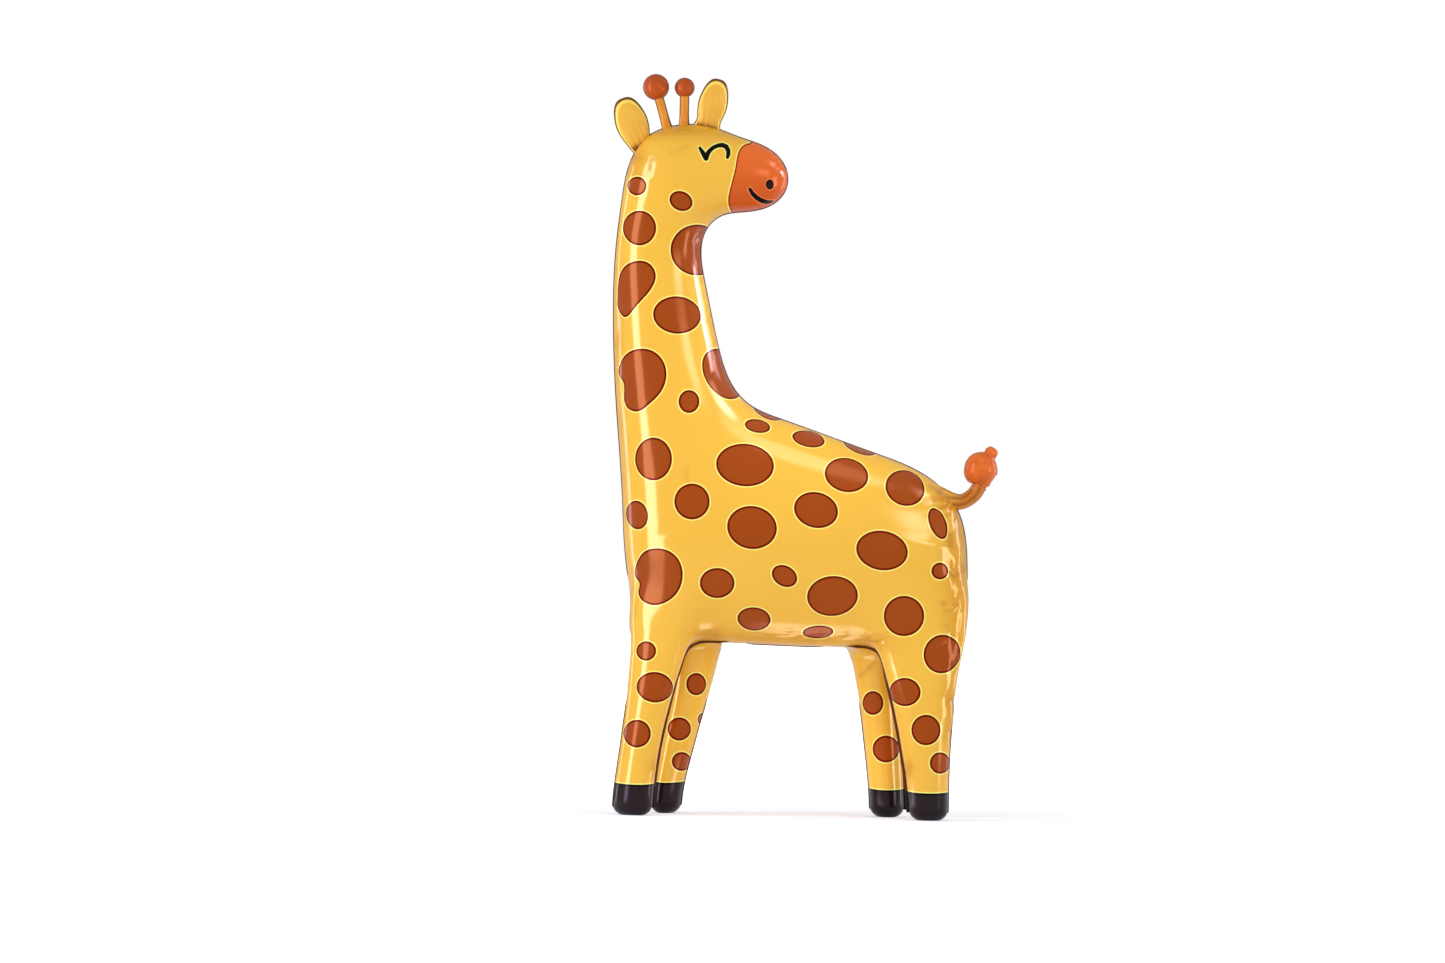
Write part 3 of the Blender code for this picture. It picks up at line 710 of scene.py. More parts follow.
# %% Crumples
# Each row is a middle (across, down), a reach across and down, a height and how much taller than wide it is
CRUMPLES = (
    (957, 585, 12, 80, 2.2, 2.6), (946, 500, 15, 14, 1.3, 1.0), (702, 250, 6, 19, 1.7, 1.8),
    (866, 643, 22, 9, 1.7, 0.6), (709, 637, 18, 8, 0.9, 0.6), (636, 160, 10, 24, 0.8, 1.6),
    (779, 171, 8, 16, 1.2, 1.6), (951, 712, 8, 50, 1.0, 2.4), (656, 768, 6, 10, 0.9, 1.4),
    (907, 770, 6, 10, 0.9, 1.4), (620, 560, 7, 150, 0.7, 5.0), (619, 330, 6, 110, 0.5, 5.0),
    (715, 335, 7, 70, 0.6, 2.6), (690, 129, 52, 11, 0.7, 0.6), (790, 637, 75, 8, 0.7, 0.3),
    (960, 500, 10, 10, 1.2, 1.0),
)
RANDOM_GRID = 256
COARSE_CELL = 12.0
FINE_CELL = 5.5
FINE_SHARE = 0.3
FACET_GAIN = 2.4
FACET_DROP = 0.8
ASKEW_ACROSS = 0.35
ASKEW_DOWN = 0.2


def cloudy(across, down, seed):
    """A smooth random height from -1 to 1: random values on a square grid, blended by smooth steps."""
    values = np.random.default_rng(seed).uniform(-1, 1, (RANDOM_GRID, RANDOM_GRID))
    column = np.floor(across).astype(int)
    row = np.floor(down).astype(int)
    right = across - column
    under = down - row
    right = right * right * (3 - 2 * right)
    under = under * under * (3 - 2 * under)
    here = values[column % RANDOM_GRID, row % RANDOM_GRID]
    beside = values[(column + 1) % RANDOM_GRID, row % RANDOM_GRID]
    beneath = values[column % RANDOM_GRID, (row + 1) % RANDOM_GRID]
    opposite = values[(column + 1) % RANDOM_GRID, (row + 1) % RANDOM_GRID]
    upper = here + (beside - here) * right
    lower = beneath + (opposite - beneath) * right
    return upper + (lower - upper) * under


def facets(across, down, cell, seed):
    """Random heights of one size of cell without their sign, some above zero and some below."""
    return FACET_GAIN * np.abs(cloudy(across / cell, down / cell, seed)) - FACET_DROP


def crumple_press(across, down, patch, seed):
    """Facets in a patch: two sizes of them, lying askew, times a hump, which is returned too."""
    middle_across, middle_down, reach_across, reach_down, height, stretch = patch
    reach = ((across - middle_across) / reach_across) ** 2 + ((down - middle_down) / reach_down) ** 2
    cover = np.exp(-reach)
    places = across + ASKEW_ACROSS * down / stretch, down / stretch - ASKEW_DOWN * across
    folds = facets(*places, COARSE_CELL, seed) + FINE_SHARE * facets(*places, FINE_CELL, seed + 1)
    return height * cover * folds, cover


# %% [markdown]
# The rim of the bag has long shallow flutes along it, a few millimetres from line to line. They
# are too weak to be seen as shape, and make the thin lines of light near the edges of the neck.

# %% Flutes along the rim
FLUTE_LENGTHS = (19.0, 31.0)
FLUTE_STEEPNESS = 0.008
FLUTE_END = 200
FLUTE_FADE = 30
FLUTE_BEND = 1.5
FLUTE_BEND_LENGTH = 70
FLUTE_PATCH_HEIGHT = 90
FLUTE_PATCH_WIDTH = 60
FLUTE_FOOT = 250
FLUTE_FOOT_FADE = 60


def rim_press(points):
    """Flutes that follow the outline: cosines of the inset, bent slowly on the way up and fading inwards and
    towards the legs. A slow wave over both directions makes them come and go."""
    x, y, z = points.T
    into = inset(x, z, outline) / MM
    inside = (into > 0) & (into < FLUTE_END)
    into = np.where(inside, into, 0)
    bend = FLUTE_BEND * np.sin(z / MM / FLUTE_BEND_LENGTH)
    flutes = 0
    for length in FLUTE_LENGTHS:
        flutes = flutes + FLUTE_STEEPNESS * length * np.cos(2 * np.pi * into / length + bend + length)
    patches = 0.5 + 0.5 * np.sin(z / MM / FLUTE_PATCH_HEIGHT + x / MM / FLUTE_PATCH_WIDTH)
    above_legs = np.clip((z / MM - FLUTE_FOOT) / FLUTE_FOOT_FADE, 0, 1)
    return flutes * np.exp(-into / FLUTE_FADE) * patches * above_legs * inside


# %% [markdown]
# All the presses are added up and the skin's points are moved along their normals. The inner sides of the
# legs stay smooth: a factor fades each press where the skin turns away from its own side of the balloon. The
# valleys of the folds and a narrow band along the hem get a painted shade, a brown laid over the ink, so a
# shade is kept for each point that says how deep it lies in a fold and how near it is to the hem line. The
# crumpled patches are kept as well, for their bump and for a darker gold painted over them as shade.

# %% Press the skin
OUTWARD_LEAST = -0.15
OUTWARD_FADE = 0.4
FULL_CRUMPLE = 1.0
FLAT_SOLE = 0.014
FULL_FOLD = 1.5
FOLD_SHADE = 0.5
HEM_SHADE = 0.14
HEM_SHADE_REACH = 3.0

outward = skin_normals[:, 1] * np.sign(skin_points[:, 1])
facing = np.clip((outward - OUTWARD_LEAST) / OUTWARD_FADE, 0, 1)
press = np.zeros(len(skin_points))
for fan in FANS:
    press += fan_press(skin_across, skin_down, fan) * facing
for crease in CREASES:
    press += crease_press(skin_across, skin_down, crease) * facing
far_facing = np.clip(-skin_normals[:, 1] / OUTWARD_FADE, 0, 1) * (skin_points[:, 1] > 0)
press += crease_press(skin_across, skin_down, FAR_CREASE) * far_facing
# how crumpled each point is, kept for the bump and for a darker gold painted over the crumples as shade
crumpled = np.zeros(len(skin_points))
for number, patch in enumerate(CRUMPLES):
    folds, cover = crumple_press(skin_across, skin_down, patch, 10 * number)
    press += folds * facing
    crumpled = np.maximum(crumpled, cover * facing * min(1, patch[4] / FULL_CRUMPLE))
from_hem = side_of_line(skin_across, skin_down, smooth_line(HEM_LINE, HEM_STEPS))
# painted shade: browner in the valleys of the folds and along the hem line
shade = FOLD_SHADE * np.clip(-press / FULL_FOLD, 0, 1)
shade = np.maximum(shade, HEM_SHADE * bell(from_hem, HEM_SHADE_REACH))
press += rim_press(skin_points) + hem_press(from_hem, skin_down) * facing
press *= skin_points[:, 2] > FLAT_SOLE
skin_points = skin_points + skin_normals * (press * MM)[:, None]
print("pressed from", round(press.min(), 2), "to", round(press.max(), 2), "mm")

# %% [markdown]
# ## Putting arrays into a mesh
#
# Every piece of the balloon ends as arrays of points and faces. One helper makes the mesh and its object,
# lets the piece move with the part's body and hides the plain solid that it stands for.

# %% A piece from arrays
def foil_piece(name, points, faces, node, slot):
    """An object of the given points and faces, at the origin and unturned, shaded smooth."""
    mesh = bpy.data.meshes.new(name)
    mesh.from_pydata(points.tolist(), [], faces)
    mesh.validate()
    mesh.shade_smooth()
    piece = bpy.data.objects.new(name, mesh)
    bpy.context.scene.collection.objects.link(piece)
    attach(piece, "root")
    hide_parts(node)
    print(name, len(points), "points,", sum(len(face) - 2 for face in faces), "triangles")
    return piece


def keep_on_points(piece, **kept):
    """Stores one number a point under each name, for the shader to read."""
    for name, values in kept.items():
        attribute = piece.data.attributes.new(name, "FLOAT", "POINT")
        attribute.data.foreach_set("value", values.astype(np.float32))


def keep_as_map(piece, name, across, up):
    """Stores two numbers a point as a UV map: each corner of a face takes those of its point."""
    corner_points = np.zeros(len(piece.data.loops), np.int32)
    piece.data.loops.foreach_get("vertex_index", corner_points)
    layer = piece.data.uv_layers.new(name=name)
    places = np.stack([across[corner_points], up[corner_points]], axis=1)
    layer.data.foreach_set("uv", places.astype(np.float32).ravel())


body = foil_piece("foil_body", skin_points, skin_quads.tolist(), "body", "body_foil")
keep_on_points(body, spot_edge=spot_edge, crumpled=crumpled, shade=shade)
keep_as_map(body, "artwork", skin_across * SHEET_SCALE, 1 - skin_down * SHEET_SCALE)

# %% [markdown]
# ## The weld
#
# The panels are welded along a narrow flat strip that stands out from the rim. Two bands of it lie in the
# bag's middle plane, one over the legs' tops all around and one under the belly, and every leg has one on
# its front and one on its back edge. Each is a thin band carried along a line of points that were brought
# onto the skin, and stands along the skin's normal.

# %% Weld strips
WELD_OUT = 0.0015
INNER_WELD_OUT = 0.0046
WELD_IN = 0.0024
WELD_HALF_THICKNESS = 0.0006
WELD_STEP = 0.004
LEG_WELD_LEVELS = (14, 50, 90, 130, 170, 205, 228)
LEG_WELD_STEPS = 12
ARCH_SPREAD = (0.9, 0.3)
SKIN_ROUNDS = 8
HEAD_FOOT = 300
FAR_FROM_MUZZLE = 0.2
WELD_PALE_SHARE = 0.4
WELD_TAPER = 0.03
WELD_LEAST_SHARE = 0.1
BAG_WELD_FOOT = 0.40
BELLY_WELD_TOP = 0.33
BELLY_WELD_MIDDLE = -0.028
BELLY_WELD_REACH = 0.10
FRONT_ARCH = ((680, 670), (685, 655), (691, 645.5), (700, 641), (713, 640), (735, 643.5))
REAR_ARCH = ((886, 681), (882, 667), (876, 657), (867, 650.5), (855, 648), (840, 647))
# Each row is a leg, its side, the sign of the edge, how far its strip stands out and the way it goes on
# above
# the leg, on the artwork. The strips that face another leg are the wider ones
LEG_WELDS = (
    (NEAR_FRONT_LEG, -1, -1, WELD_OUT, ()), (NEAR_FRONT_LEG, -1, 1, INNER_WELD_OUT, FRONT_ARCH),
    (FAR_FRONT_LEG, 1, -1, INNER_WELD_OUT, ()), (FAR_FRONT_LEG, 1, 1, WELD_OUT, ()),
    (NEAR_REAR_LEG, -1, -1, INNER_WELD_OUT, REAR_ARCH), (NEAR_REAR_LEG, -1, 1, WELD_OUT, ()),
    (FAR_REAR_LEG, 1, -1, WELD_OUT, ()), (FAR_REAR_LEG, 1, 1, INNER_WELD_OUT, ()),
)


def from_artwork(across, down):
    """The x and z of a place on the artwork: its offset from the sheet's middle, turned back by the tilt."""
    right = (across - SHEET_MIDDLE[0]) * UNIT
    under = (down - SHEET_MIDDLE[1]) * UNIT
    return (
        VIEW_POINT[0] + right * math.cos(TILT) + under * math.sin(TILT),
        VIEW_POINT[2] + right * math.sin(TILT) - under * math.cos(TILT),
    )


def on_skin(points):
    """Points brought onto the skin against its slope, a few steps each."""
    for _ in range(SKIN_ROUNDS):
        value, slope = slope_of(skin_distance, points)
        points = points - value[:, None] * slope / np.maximum((slope**2).sum(axis=1), LEAST_SLOPE)[:, None]
    return points


def leg_edge(leg, side, edge, arch):
    """A line up one edge of a leg, and on along the arch towards the middle plane where there is one."""
    heights = np.array(LEG_WELD_LEVELS) * MM
    middles, half_widths = np.array(leg) * MM
    levels = np.array(LEG_LEVELS) * MM
    x = eased(levels, middles, heights) + edge * eased(levels, half_widths, heights) + SHIFT
    y = side * leg_offset(heights)
    line = np.stack([x, y, heights], axis=1)
    if not arch:
        return line
    arch_x, arch_z = from_artwork(*np.array(arch).T)
    arch_y = side * np.linspace(*ARCH_SPREAD, len(arch)) * leg_offset(arch_z)
    return np.concatenate([line[:-2], np.stack([arch_x, arch_y, arch_z], axis=1)])


def travelled_along(line):
    """How far along a line of points each of them is."""
    return np.concatenate([[0], np.cumsum(np.linalg.norm(np.diff(line, axis=0), axis=1))])


def read_along(line, at):
    """Points at the given distances along a line of points."""
    return np.stack([np.interp(at, travelled_along(line), column) for column in line.T], axis=1)


def evenly(line, step):
    """Points along a line of points, as far apart as the step."""
    length = travelled_along(line)[-1]
    return read_along(line, np.linspace(0, length, int(length / step) + 1))


def weld_strip(line, out, sinks_at_start):
    """Points and faces of a band along a line on the skin: a rounded section of six points, that stands
    along the skin's normal and is as thick as the film's two layers. Each point's share of the band's height
    is returned too. The band sinks into the skin at its end, and where it is said also at its start."""
    line = on_skin(line)
    _, normal = slope_of(skin_distance, line)
    normal /= np.linalg.norm(normal, axis=1, keepdims=True)
    aside = np.cross(np.gradient(line, axis=0), normal)
    aside /= np.linalg.norm(aside, axis=1, keepdims=True)
    shares = np.array((0, 0.5, 1, 1, 0.5, 0))
    thicks = np.array((1, 1, 0.5, -0.5, -1, -1)) * WELD_HALF_THICKNESS
    number = np.arange(len(line))
    to_end = len(line) - 1 - number
    left = np.minimum(number, to_end) if sinks_at_start else to_end
    height = (out + WELD_IN) * np.clip(left * WELD_STEP / WELD_TAPER, WELD_LEAST_SHARE, 1)
    outs = shares * height[:, None] - WELD_IN
    rings = line[:, None] + outs[..., None] * normal[:, None] + thicks[:, None] * aside[:, None]
    count, corners, _ = rings.shape
    number = np.arange(count * corners).reshape(count, corners)
    following = np.roll(number, -1, axis=1)
    ahead = np.roll(number, -1, axis=0)
    ahead_following = np.roll(following, -1, axis=0)
    walls = np.stack([number, ahead, ahead_following, following], axis=-1)[:-1]
    faces = walls.reshape(-1, 4).tolist() + [number[0].tolist(), number[-1][::-1].tolist()]
    return rings.reshape(-1, 3), faces, np.broadcast_to(shares, (count, corners)).ravel()


middle_line = np.stack([outline[:, 0], np.zeros(len(outline)), outline[:, 1]], axis=1)
over_legs = outline[:, 1] > BAG_WELD_FOOT
under_belly = outline[:, 1] < BELLY_WELD_TOP
under_belly &= np.abs(outline[:, 0] - BELLY_WELD_MIDDLE) < BELLY_WELD_REACH
strips = []
for part in (over_legs, under_belly):
    strips.append(weld_strip(evenly(middle_line[part], WELD_STEP), WELD_OUT, True))
for leg, side, edge, out, arch in LEG_WELDS:
    line = evenly(smooth_line(leg_edge(leg, side, edge, arch), LEG_WELD_STEPS), WELD_STEP)
    points, faces, shares = weld_strip(line, out, False)
    # the strips that face another leg are brown all over: a weld, and a painted shade for the dark gap where
    # the legs touch
    strips.append((points, faces, np.where(out == WELD_OUT, shares, 1.0)))
weld_points = np.concatenate([points for points, _, _ in strips])
weld_faces = []
start = 0
for points, faces, _ in strips:
    weld_faces += [[corner + start for corner in face] for face in faces]
    start += len(points)
weld = foil_piece("weld_strips", weld_points, weld_faces, "body", "body_foil")
weld_across, weld_down = artwork_place(weld_points)
weld_muzzle = side_of_line(weld_across, weld_down, smooth_line(((751.5, 141.0), (731.4, 212.4)), 1)) * UNIT
keep_on_points(
    weld,
    outward=np.concatenate([shares for _, _, shares in strips]),
    muzzle_edge=np.where(weld_down < HEAD_FOOT, weld_muzzle, FAR_FROM_MUZZLE),
)

# %% [markdown]
# ## Drawing with nodes
#
# A shader is a small sum made at every point that the light meets. These helpers write such sums in one line
# each: a number from a calculation, a soft step at an edge, and one ink laid over another.

# %% Node helpers
def feed(tree, sockets, values):
    """Gives each socket its value: a constant is set on it, and the output of a node is linked to it."""
    for socket, value in zip(sockets, values):
        if isinstance(value, bpy.types.NodeSocket):
            tree.links.new(value, socket)
        else:
            socket.default_value = value


def calculated(tree, operation, *values, clamp=False):
    """A Math node. Each value is a number or the output of another node."""
    node = tree.nodes.new("ShaderNodeMath")
    node.operation = operation
    node.use_clamp = clamp
    feed(tree, node.inputs, values)
    return node.outputs[0]


def vector_calculated(tree, operation, *values, result="Vector"):
    """A Vector Math node. Each value is three numbers or the output of another node."""
    node = tree.nodes.new("ShaderNodeVectorMath")
    node.operation = operation
    feed(tree, node.inputs, values)
    return node.outputs[result]


def faded(tree, value, start, end, at_start, at_end):
    """A number that eases from one value to another while the input goes from start to end."""
    node = tree.nodes.new("ShaderNodeMapRange")
    node.interpolation_type = "SMOOTHSTEP"
    sockets = [node.inputs[name] for name in ("Value", "From Min", "From Max", "To Min", "To Max")]
    feed(tree, sockets, (value, start, end, at_start, at_end))
    return node.outputs["Result"]


def below(tree, distance, edge, softness):
    """1 where a distance is below an edge and 0 above it, with a soft step between."""
    return faded(tree, distance, edge - softness, edge + softness, 1.0, 0.0)


def laid_over(tree, under, ink, cover):
    """One ink over another where the cover is 1."""
    node = tree.nodes.new("ShaderNodeMix")
    node.data_type = "RGBA"
    feed(tree, (node.inputs["Factor"], node.inputs["A"], node.inputs["B"]), (cover, under, ink))
    return node.outputs["Result"]


def layered(tree, under, distance, softness, *layers):
    """Inks laid over one another. Each layer is an ink and the distance below which it covers the others."""
    for ink, reach in layers:
        under = laid_over(tree, under, ink, below(tree, distance, reach, softness))
    return under


def noise(tree, place, scale, detail):
    """A cloudy pattern from 0 to 1 on the given place."""
    node = tree.nodes.new("ShaderNodeTexNoise")
    feed(tree, [node.inputs[name] for name in ("Vector", "Scale", "Detail")], (place, scale, detail))
    return node.outputs["Fac"]


def stored(tree, name):
    """The number that a piece keeps on its points."""
    node = tree.nodes.new("ShaderNodeAttribute")
    node.attribute_name = name
    return node.outputs["Fac"]


def object_place(tree):
    """The place on the balloon, in metres."""
    return tree.nodes.new("ShaderNodeTexCoord").outputs["Object"]


def coordinates(tree, place):
    """The three coordinates of a place, by their names."""
    node = tree.nodes.new("ShaderNodeSeparateXYZ")
    tree.links.new(place, node.inputs["Vector"])
    return node.outputs


# %% [markdown]
# ## The film
#
# Film is a thin plastic sheet with a vapour of aluminium on its back, printed with see-through inks. Nearly
# all of its shine is one clear gloss. It is tinted, on the body by each ink and on the small pieces by one
# brown. A small metallic share and a thin, duller coat add a soft sheen, and a fine bump keeps the
# reflections from being as clean as glass.

# %% The film's shader
FILM_METALLIC = 0.06
FILM_ROUGHNESS = 0.12
FILM_SPECULAR = 0.5
FILM_UNEVENNESS = 0.12
COAT_WEIGHT = 0.08
COAT_ROUGHNESS = 0.3
SMALL_PIECE_UNEVENNESS = 0.05
SMALL_PIECE_ROUGHNESS = 0.28
SMALL_PIECE_GLOSS = (0.50, 0.30, 0.16, 1.0)
BUMP_DISTANCE = 0.002
# Each is the scale and the detail of a noise
BUMP_CLOUDS = (26.0, 3.0)
CRUMPLE_CLOUDS = (75.0, 2.0)
CRUMPLE_HEIGHT = 3.0


def film(name, roughness=FILM_ROUGHNESS, unevenness=FILM_UNEVENNESS, crumples=False):
    """A new material with the film's gloss, and its tree and shader for inks to be linked to. With crumples,
    a finer pattern of sharp valleys is added to the bump where the piece is crumpled."""
    material = bpy.data.materials.new(name)
    material.use_nodes = True
    tree = material.node_tree
    shader = tree.nodes["Principled BSDF"]
    shader.inputs["Metallic"].default_value = FILM_METALLIC
    shader.inputs["Roughness"].default_value = roughness
    shader.inputs["Specular IOR Level"].default_value = FILM_SPECULAR
    shader.inputs["Coat Weight"].default_value = COAT_WEIGHT
    shader.inputs["Coat Roughness"].default_value = COAT_ROUGHNESS
    place = object_place(tree)
    height = noise(tree, place, *BUMP_CLOUDS)
    if crumples:
        swing = calculated(tree, "SUBTRACT", noise(tree, place, *CRUMPLE_CLOUDS), 0.5)
        valleys = calculated(tree, "ABSOLUTE", swing)
        strength = calculated(tree, "MULTIPLY", stored(tree, "crumpled"), CRUMPLE_HEIGHT)
        height = calculated(tree, "MULTIPLY_ADD", valleys, strength, height)
    bump = tree.nodes.new("ShaderNodeBump")
    sockets = [bump.inputs[name] for name in ("Strength", "Distance", "Height")]
    feed(tree, sockets, (unevenness, BUMP_DISTANCE, height))
    tree.links.new(bump.outputs["Normal"], shader.inputs["Normal"])
    return material, tree, shader


def small_film(name):
    """The film of a small piece, which is duller and more even, and whose gloss is tinted brown."""
    material, tree, shader = film(name, SMALL_PIECE_ROUGHNESS, SMALL_PIECE_UNEVENNESS)
    shader.inputs["Specular Tint"].default_value = SMALL_PIECE_GLOSS
    return material, tree, shader


# %% [markdown]
# ## The face
#
# The face is drawn in a few strokes: a closed eye with a lash, a smile and a nostril. Each stroke is a chain
# of tapered lines on the artwork, and its distance is a short sum in the shader, so its edge is
# sharp at any size. The muzzle is orange beyond a bent line from the brow to the chin.

# %% Strokes on the artwork
# Each row of a stroke is a place (across, down) and the radius there
EYE_STROKE = (
    (699.9, 148.0, 1.6), (702.6, 152.4, 2.3), (706.0, 158.2, 2.7), (707.2, 154.4, 2.5), (709.6, 150.8, 2.2),
    (713.0, 147.7, 2.1), (717.8, 145.5, 2.1), (722.6, 145.0, 2.4), (726.2, 146.7, 2.5), (728.2, 150.2, 2.3),
    (728.4, 154.0, 2.2), (727.4, 157.4, 1.7),
)
SMILE_STROKE = (
    (750.0, 189.3, 1.7), (752.4, 193.4, 2.1), (756.4, 197.4, 2.4), (761.4, 200.5, 2.4), (766.4, 202.1, 2.2),
    (770.0, 202.0, 1.6), (773.0, 201.0, 0.7),
)
NOSTRIL_MIDDLE = (769.8, 184.5)
NOSTRIL_HALF_WIDTH = 4.1
NOSTRIL_HALF_HEIGHT = 5.0
MUZZLE_LINE = (
    (760.0, 120.0), (751.5, 141.0), (746.0, 143.8), (740.8, 147.6), (737.4, 155.5), (735.2, 168.4),
    (732.0, 181.2), (728.9, 193.9), (728.2, 203.0), (731.4, 212.4), (738.0, 226.0),
)
MUZZLE_STEPS = 6


def to_sheet(across, down):
    """Artwork units as a place on the UV map."""
    return (across * SHEET_SCALE, 1 - down * SHEET_SCALE, 0.0)


def stroke_distance(tree, place, stroke):
    """Distance from a chain of tapered lines, on the map: for each line, the distance to its nearest point
    less the radius there, and the least of them all."""
    nearest = None
    for (x1, y1, radius1), (x2, y2, radius2) in zip(stroke, stroke[1:]):
        start = np.array(to_sheet(x1, y1))
        line = np.array(to_sheet(x2, y2)) - start
        offset = vector_calculated(tree, "SUBTRACT", place, start.tolist())
        per_length = (line / (line @ line)).tolist()
        share = vector_calculated(tree, "DOT_PRODUCT", offset, per_length, result="Value")
        share = calculated(tree, "MULTIPLY", share, 1.0, clamp=True)
        nearest_point = vector_calculated(tree, "MULTIPLY", share, line.tolist())
        miss = vector_calculated(tree, "SUBTRACT", offset, nearest_point)
        reach = vector_calculated(tree, "LENGTH", miss, result="Value")
        growth = (radius2 - radius1) * SHEET_SCALE
        radius = calculated(tree, "MULTIPLY_ADD", share, growth, radius1 * SHEET_SCALE)
        distance = calculated(tree, "SUBTRACT", reach, radius)
        nearest = distance if nearest is None else calculated(tree, "MINIMUM", nearest, distance)
    return nearest


muzzle_edge = side_of_line(skin_across, skin_down, smooth_line(MUZZLE_LINE, MUZZLE_STEPS)) * UNIT
keep_on_points(body, muzzle_edge=np.where(skin_down < HEAD_FOOT, muzzle_edge, FAR_FROM_MUZZLE))

# %% [markdown]
# ## The hooves
#
# The last five centimetres of each leg are printed black. The edge dips a little in the middle of the leg,
# because it was straight on the flat panel.

# %% Hoof edges
FRONT_HOOF_HEIGHT = 0.0585
REAR_HOOF_HEIGHT = 0.0525
HOOF_DIP = 0.003


def hoof_distance(points):
    """Height above the hoof's edge, which is lowest where the leg faces the viewer."""
    hoof_height = np.where(points[:, 0] < 0, FRONT_HOOF_HEIGHT, REAR_HOOF_HEIGHT)
    return points[:, 2] - hoof_height + HOOF_DIP * np.abs(skin_normals[:, 1])


keep_on_points(body, hoof_edge=hoof_distance(skin_points))

# %% [markdown]
# ## Inking the body
#
# The inks go on as a printer lays them: gold first, then the spots with their dark rim and pale outer line,
# then the muzzle, the hooves and the face. Over the gold goes painted shade: a darker gold on the crumpled
# patches and a brown in the fold valleys and along the hem. The muzzle's lower part is painted a darker
# orange, as shade. The tints of the gloss are laid over one another the same way.

# %% Body material
GOLD = srgb(248, 191, 60)
DEEP_GOLD = srgb(241, 180, 50)
CRUMPLE_SHADE_GOLD = srgb(216, 144, 36)
CREASE_SHADE_BROWN = srgb(180, 104, 24)
BROWN = srgb(160, 68, 14)
RIM_RED = srgb(112, 0, 0)
PALE_LINE = srgb(255, 244, 116)
MUZZLE_ORANGE = srgb(232, 110, 42)
MUZZLE_SHADE_ORANGE = srgb(210, 90, 28)
MUZZLE_PALE = srgb(240, 128, 70)
MUZZLE_RED = srgb(150, 8, 0)
NOSTRIL_BROWN = srgb(44, 22, 18)
HOOF_BLACK = srgb(30, 21, 22)
LINE_BLACK = srgb(4, 2, 4)
WELD_BROWN_AND_GAP_SHADE = srgb(84, 36, 6)
GOLD_GLOSS = (0.80, 1.0, 0.88, 1.0)
FOLD_GLOSS = (0.90, 0.92, 0.40, 1.0)
SPOT_GLOSS = (0.96, 0.48, 0.15, 1.0)
RIM_GLOSS = (0.30, 0.06, 0.03, 1.0)
MUZZLE_GLOSS = (0.50, 0.29, 0.18, 1.0)
HOOF_GLOSS = (0.42, 0.34, 0.34, 1.0)
STROKE_GLOSS = (0.12, 0.12, 0.12, 1.0)
GOLD_CLOUDS = (5.0, 1.0)
DEEP_GOLD_SHARE = 0.5
CRUMPLE_SHADE_SHARE = 0.75
RIM_WIDTH = 0.0037
PALE_WIDTH = 0.0023
MUZZLE_RIM_WIDTH = RIM_WIDTH * 0.7
NOSTRIL_RIM_WIDTH = 0.0019
FACE_PALE_WIDTH = 0.0011
EDGE_SOFTNESS = 0.0002
STROKE_SOFTNESS = 0.0003
WELD_SOFTNESS = 0.1
MUZZLE_SHADE_HEIGHT = 1.155
MUZZLE_SHADE_REACH = 0.055

body_film, tree, shader = film("golden_film", crumples=True)
place = object_place(tree)
crumples = stored(tree, "crumpled")
clouds = calculated(tree, "MULTIPLY", noise(tree, place, *GOLD_CLOUDS), DEEP_GOLD_SHARE)
ink = laid_over(tree, GOLD, DEEP_GOLD, clouds)
# painted shade: a darker gold laid over the crumpled patches
ink = laid_over(tree, ink, CRUMPLE_SHADE_GOLD, calculated(tree, "MULTIPLY", crumples, CRUMPLE_SHADE_SHARE))
# painted shade: a brown laid over the fold valleys and the hem
ink = laid_over(tree, ink, CREASE_SHADE_BROWN, stored(tree, "shade"))
spots = stored(tree, "spot_edge")
layers = (PALE_LINE, PALE_WIDTH), (RIM_RED, 0.0), (BROWN, -RIM_WIDTH)
ink = layered(tree, ink, spots, EDGE_SOFTNESS, *layers)
muzzle = stored(tree, "muzzle_edge")
# painted shade: the muzzle turns a darker orange below a height, on its lower part
chin = below(tree, coordinates(tree, place)["Z"], MUZZLE_SHADE_HEIGHT, MUZZLE_SHADE_REACH)
orange = laid_over(tree, MUZZLE_ORANGE, MUZZLE_SHADE_ORANGE, chin)
layers = (PALE_LINE, PALE_WIDTH), (MUZZLE_RED, 0.0), (orange, -MUZZLE_RIM_WIDTH)
ink = layered(tree, ink, muzzle, EDGE_SOFTNESS, *layers)
hooves = stored(tree, "hoof_edge")
layers = (PALE_LINE, PALE_WIDTH), (LINE_BLACK, 0.0), (HOOF_BLACK, -RIM_WIDTH)
ink = layered(tree, ink, hooves, EDGE_SOFTNESS, *layers)

sheet = tree.nodes.new("ShaderNodeUVMap")
sheet.uv_map = "artwork"
artwork = sheet.outputs["UV"]
offset = vector_calculated(tree, "SUBTRACT", artwork, to_sheet(*NOSTRIL_MIDDLE))
squeezed = vector_calculated(tree, "MULTIPLY", offset, (NOSTRIL_HALF_HEIGHT / NOSTRIL_HALF_WIDTH, 1.0, 1.0))
reach = vector_calculated(tree, "LENGTH", squeezed, result="Value")
nostril = calculated(tree, "SUBTRACT", reach, NOSTRIL_HALF_HEIGHT * SHEET_SCALE)
strokes = (
    (stroke_distance(tree, artwork, EYE_STROKE), PALE_LINE),
    (stroke_distance(tree, artwork, SMILE_STROKE), MUZZLE_PALE),
    (nostril, MUZZLE_PALE),
)
for stroke, pale in strokes:
    ink = layered(tree, ink, stroke, STROKE_SOFTNESS, (pale, FACE_PALE_WIDTH), (LINE_BLACK, 0.0))
ink = layered(tree, ink, nostril, STROKE_SOFTNESS, (NOSTRIL_BROWN, -NOSTRIL_RIM_WIDTH))
tree.links.new(ink, shader.inputs["Base Color"])

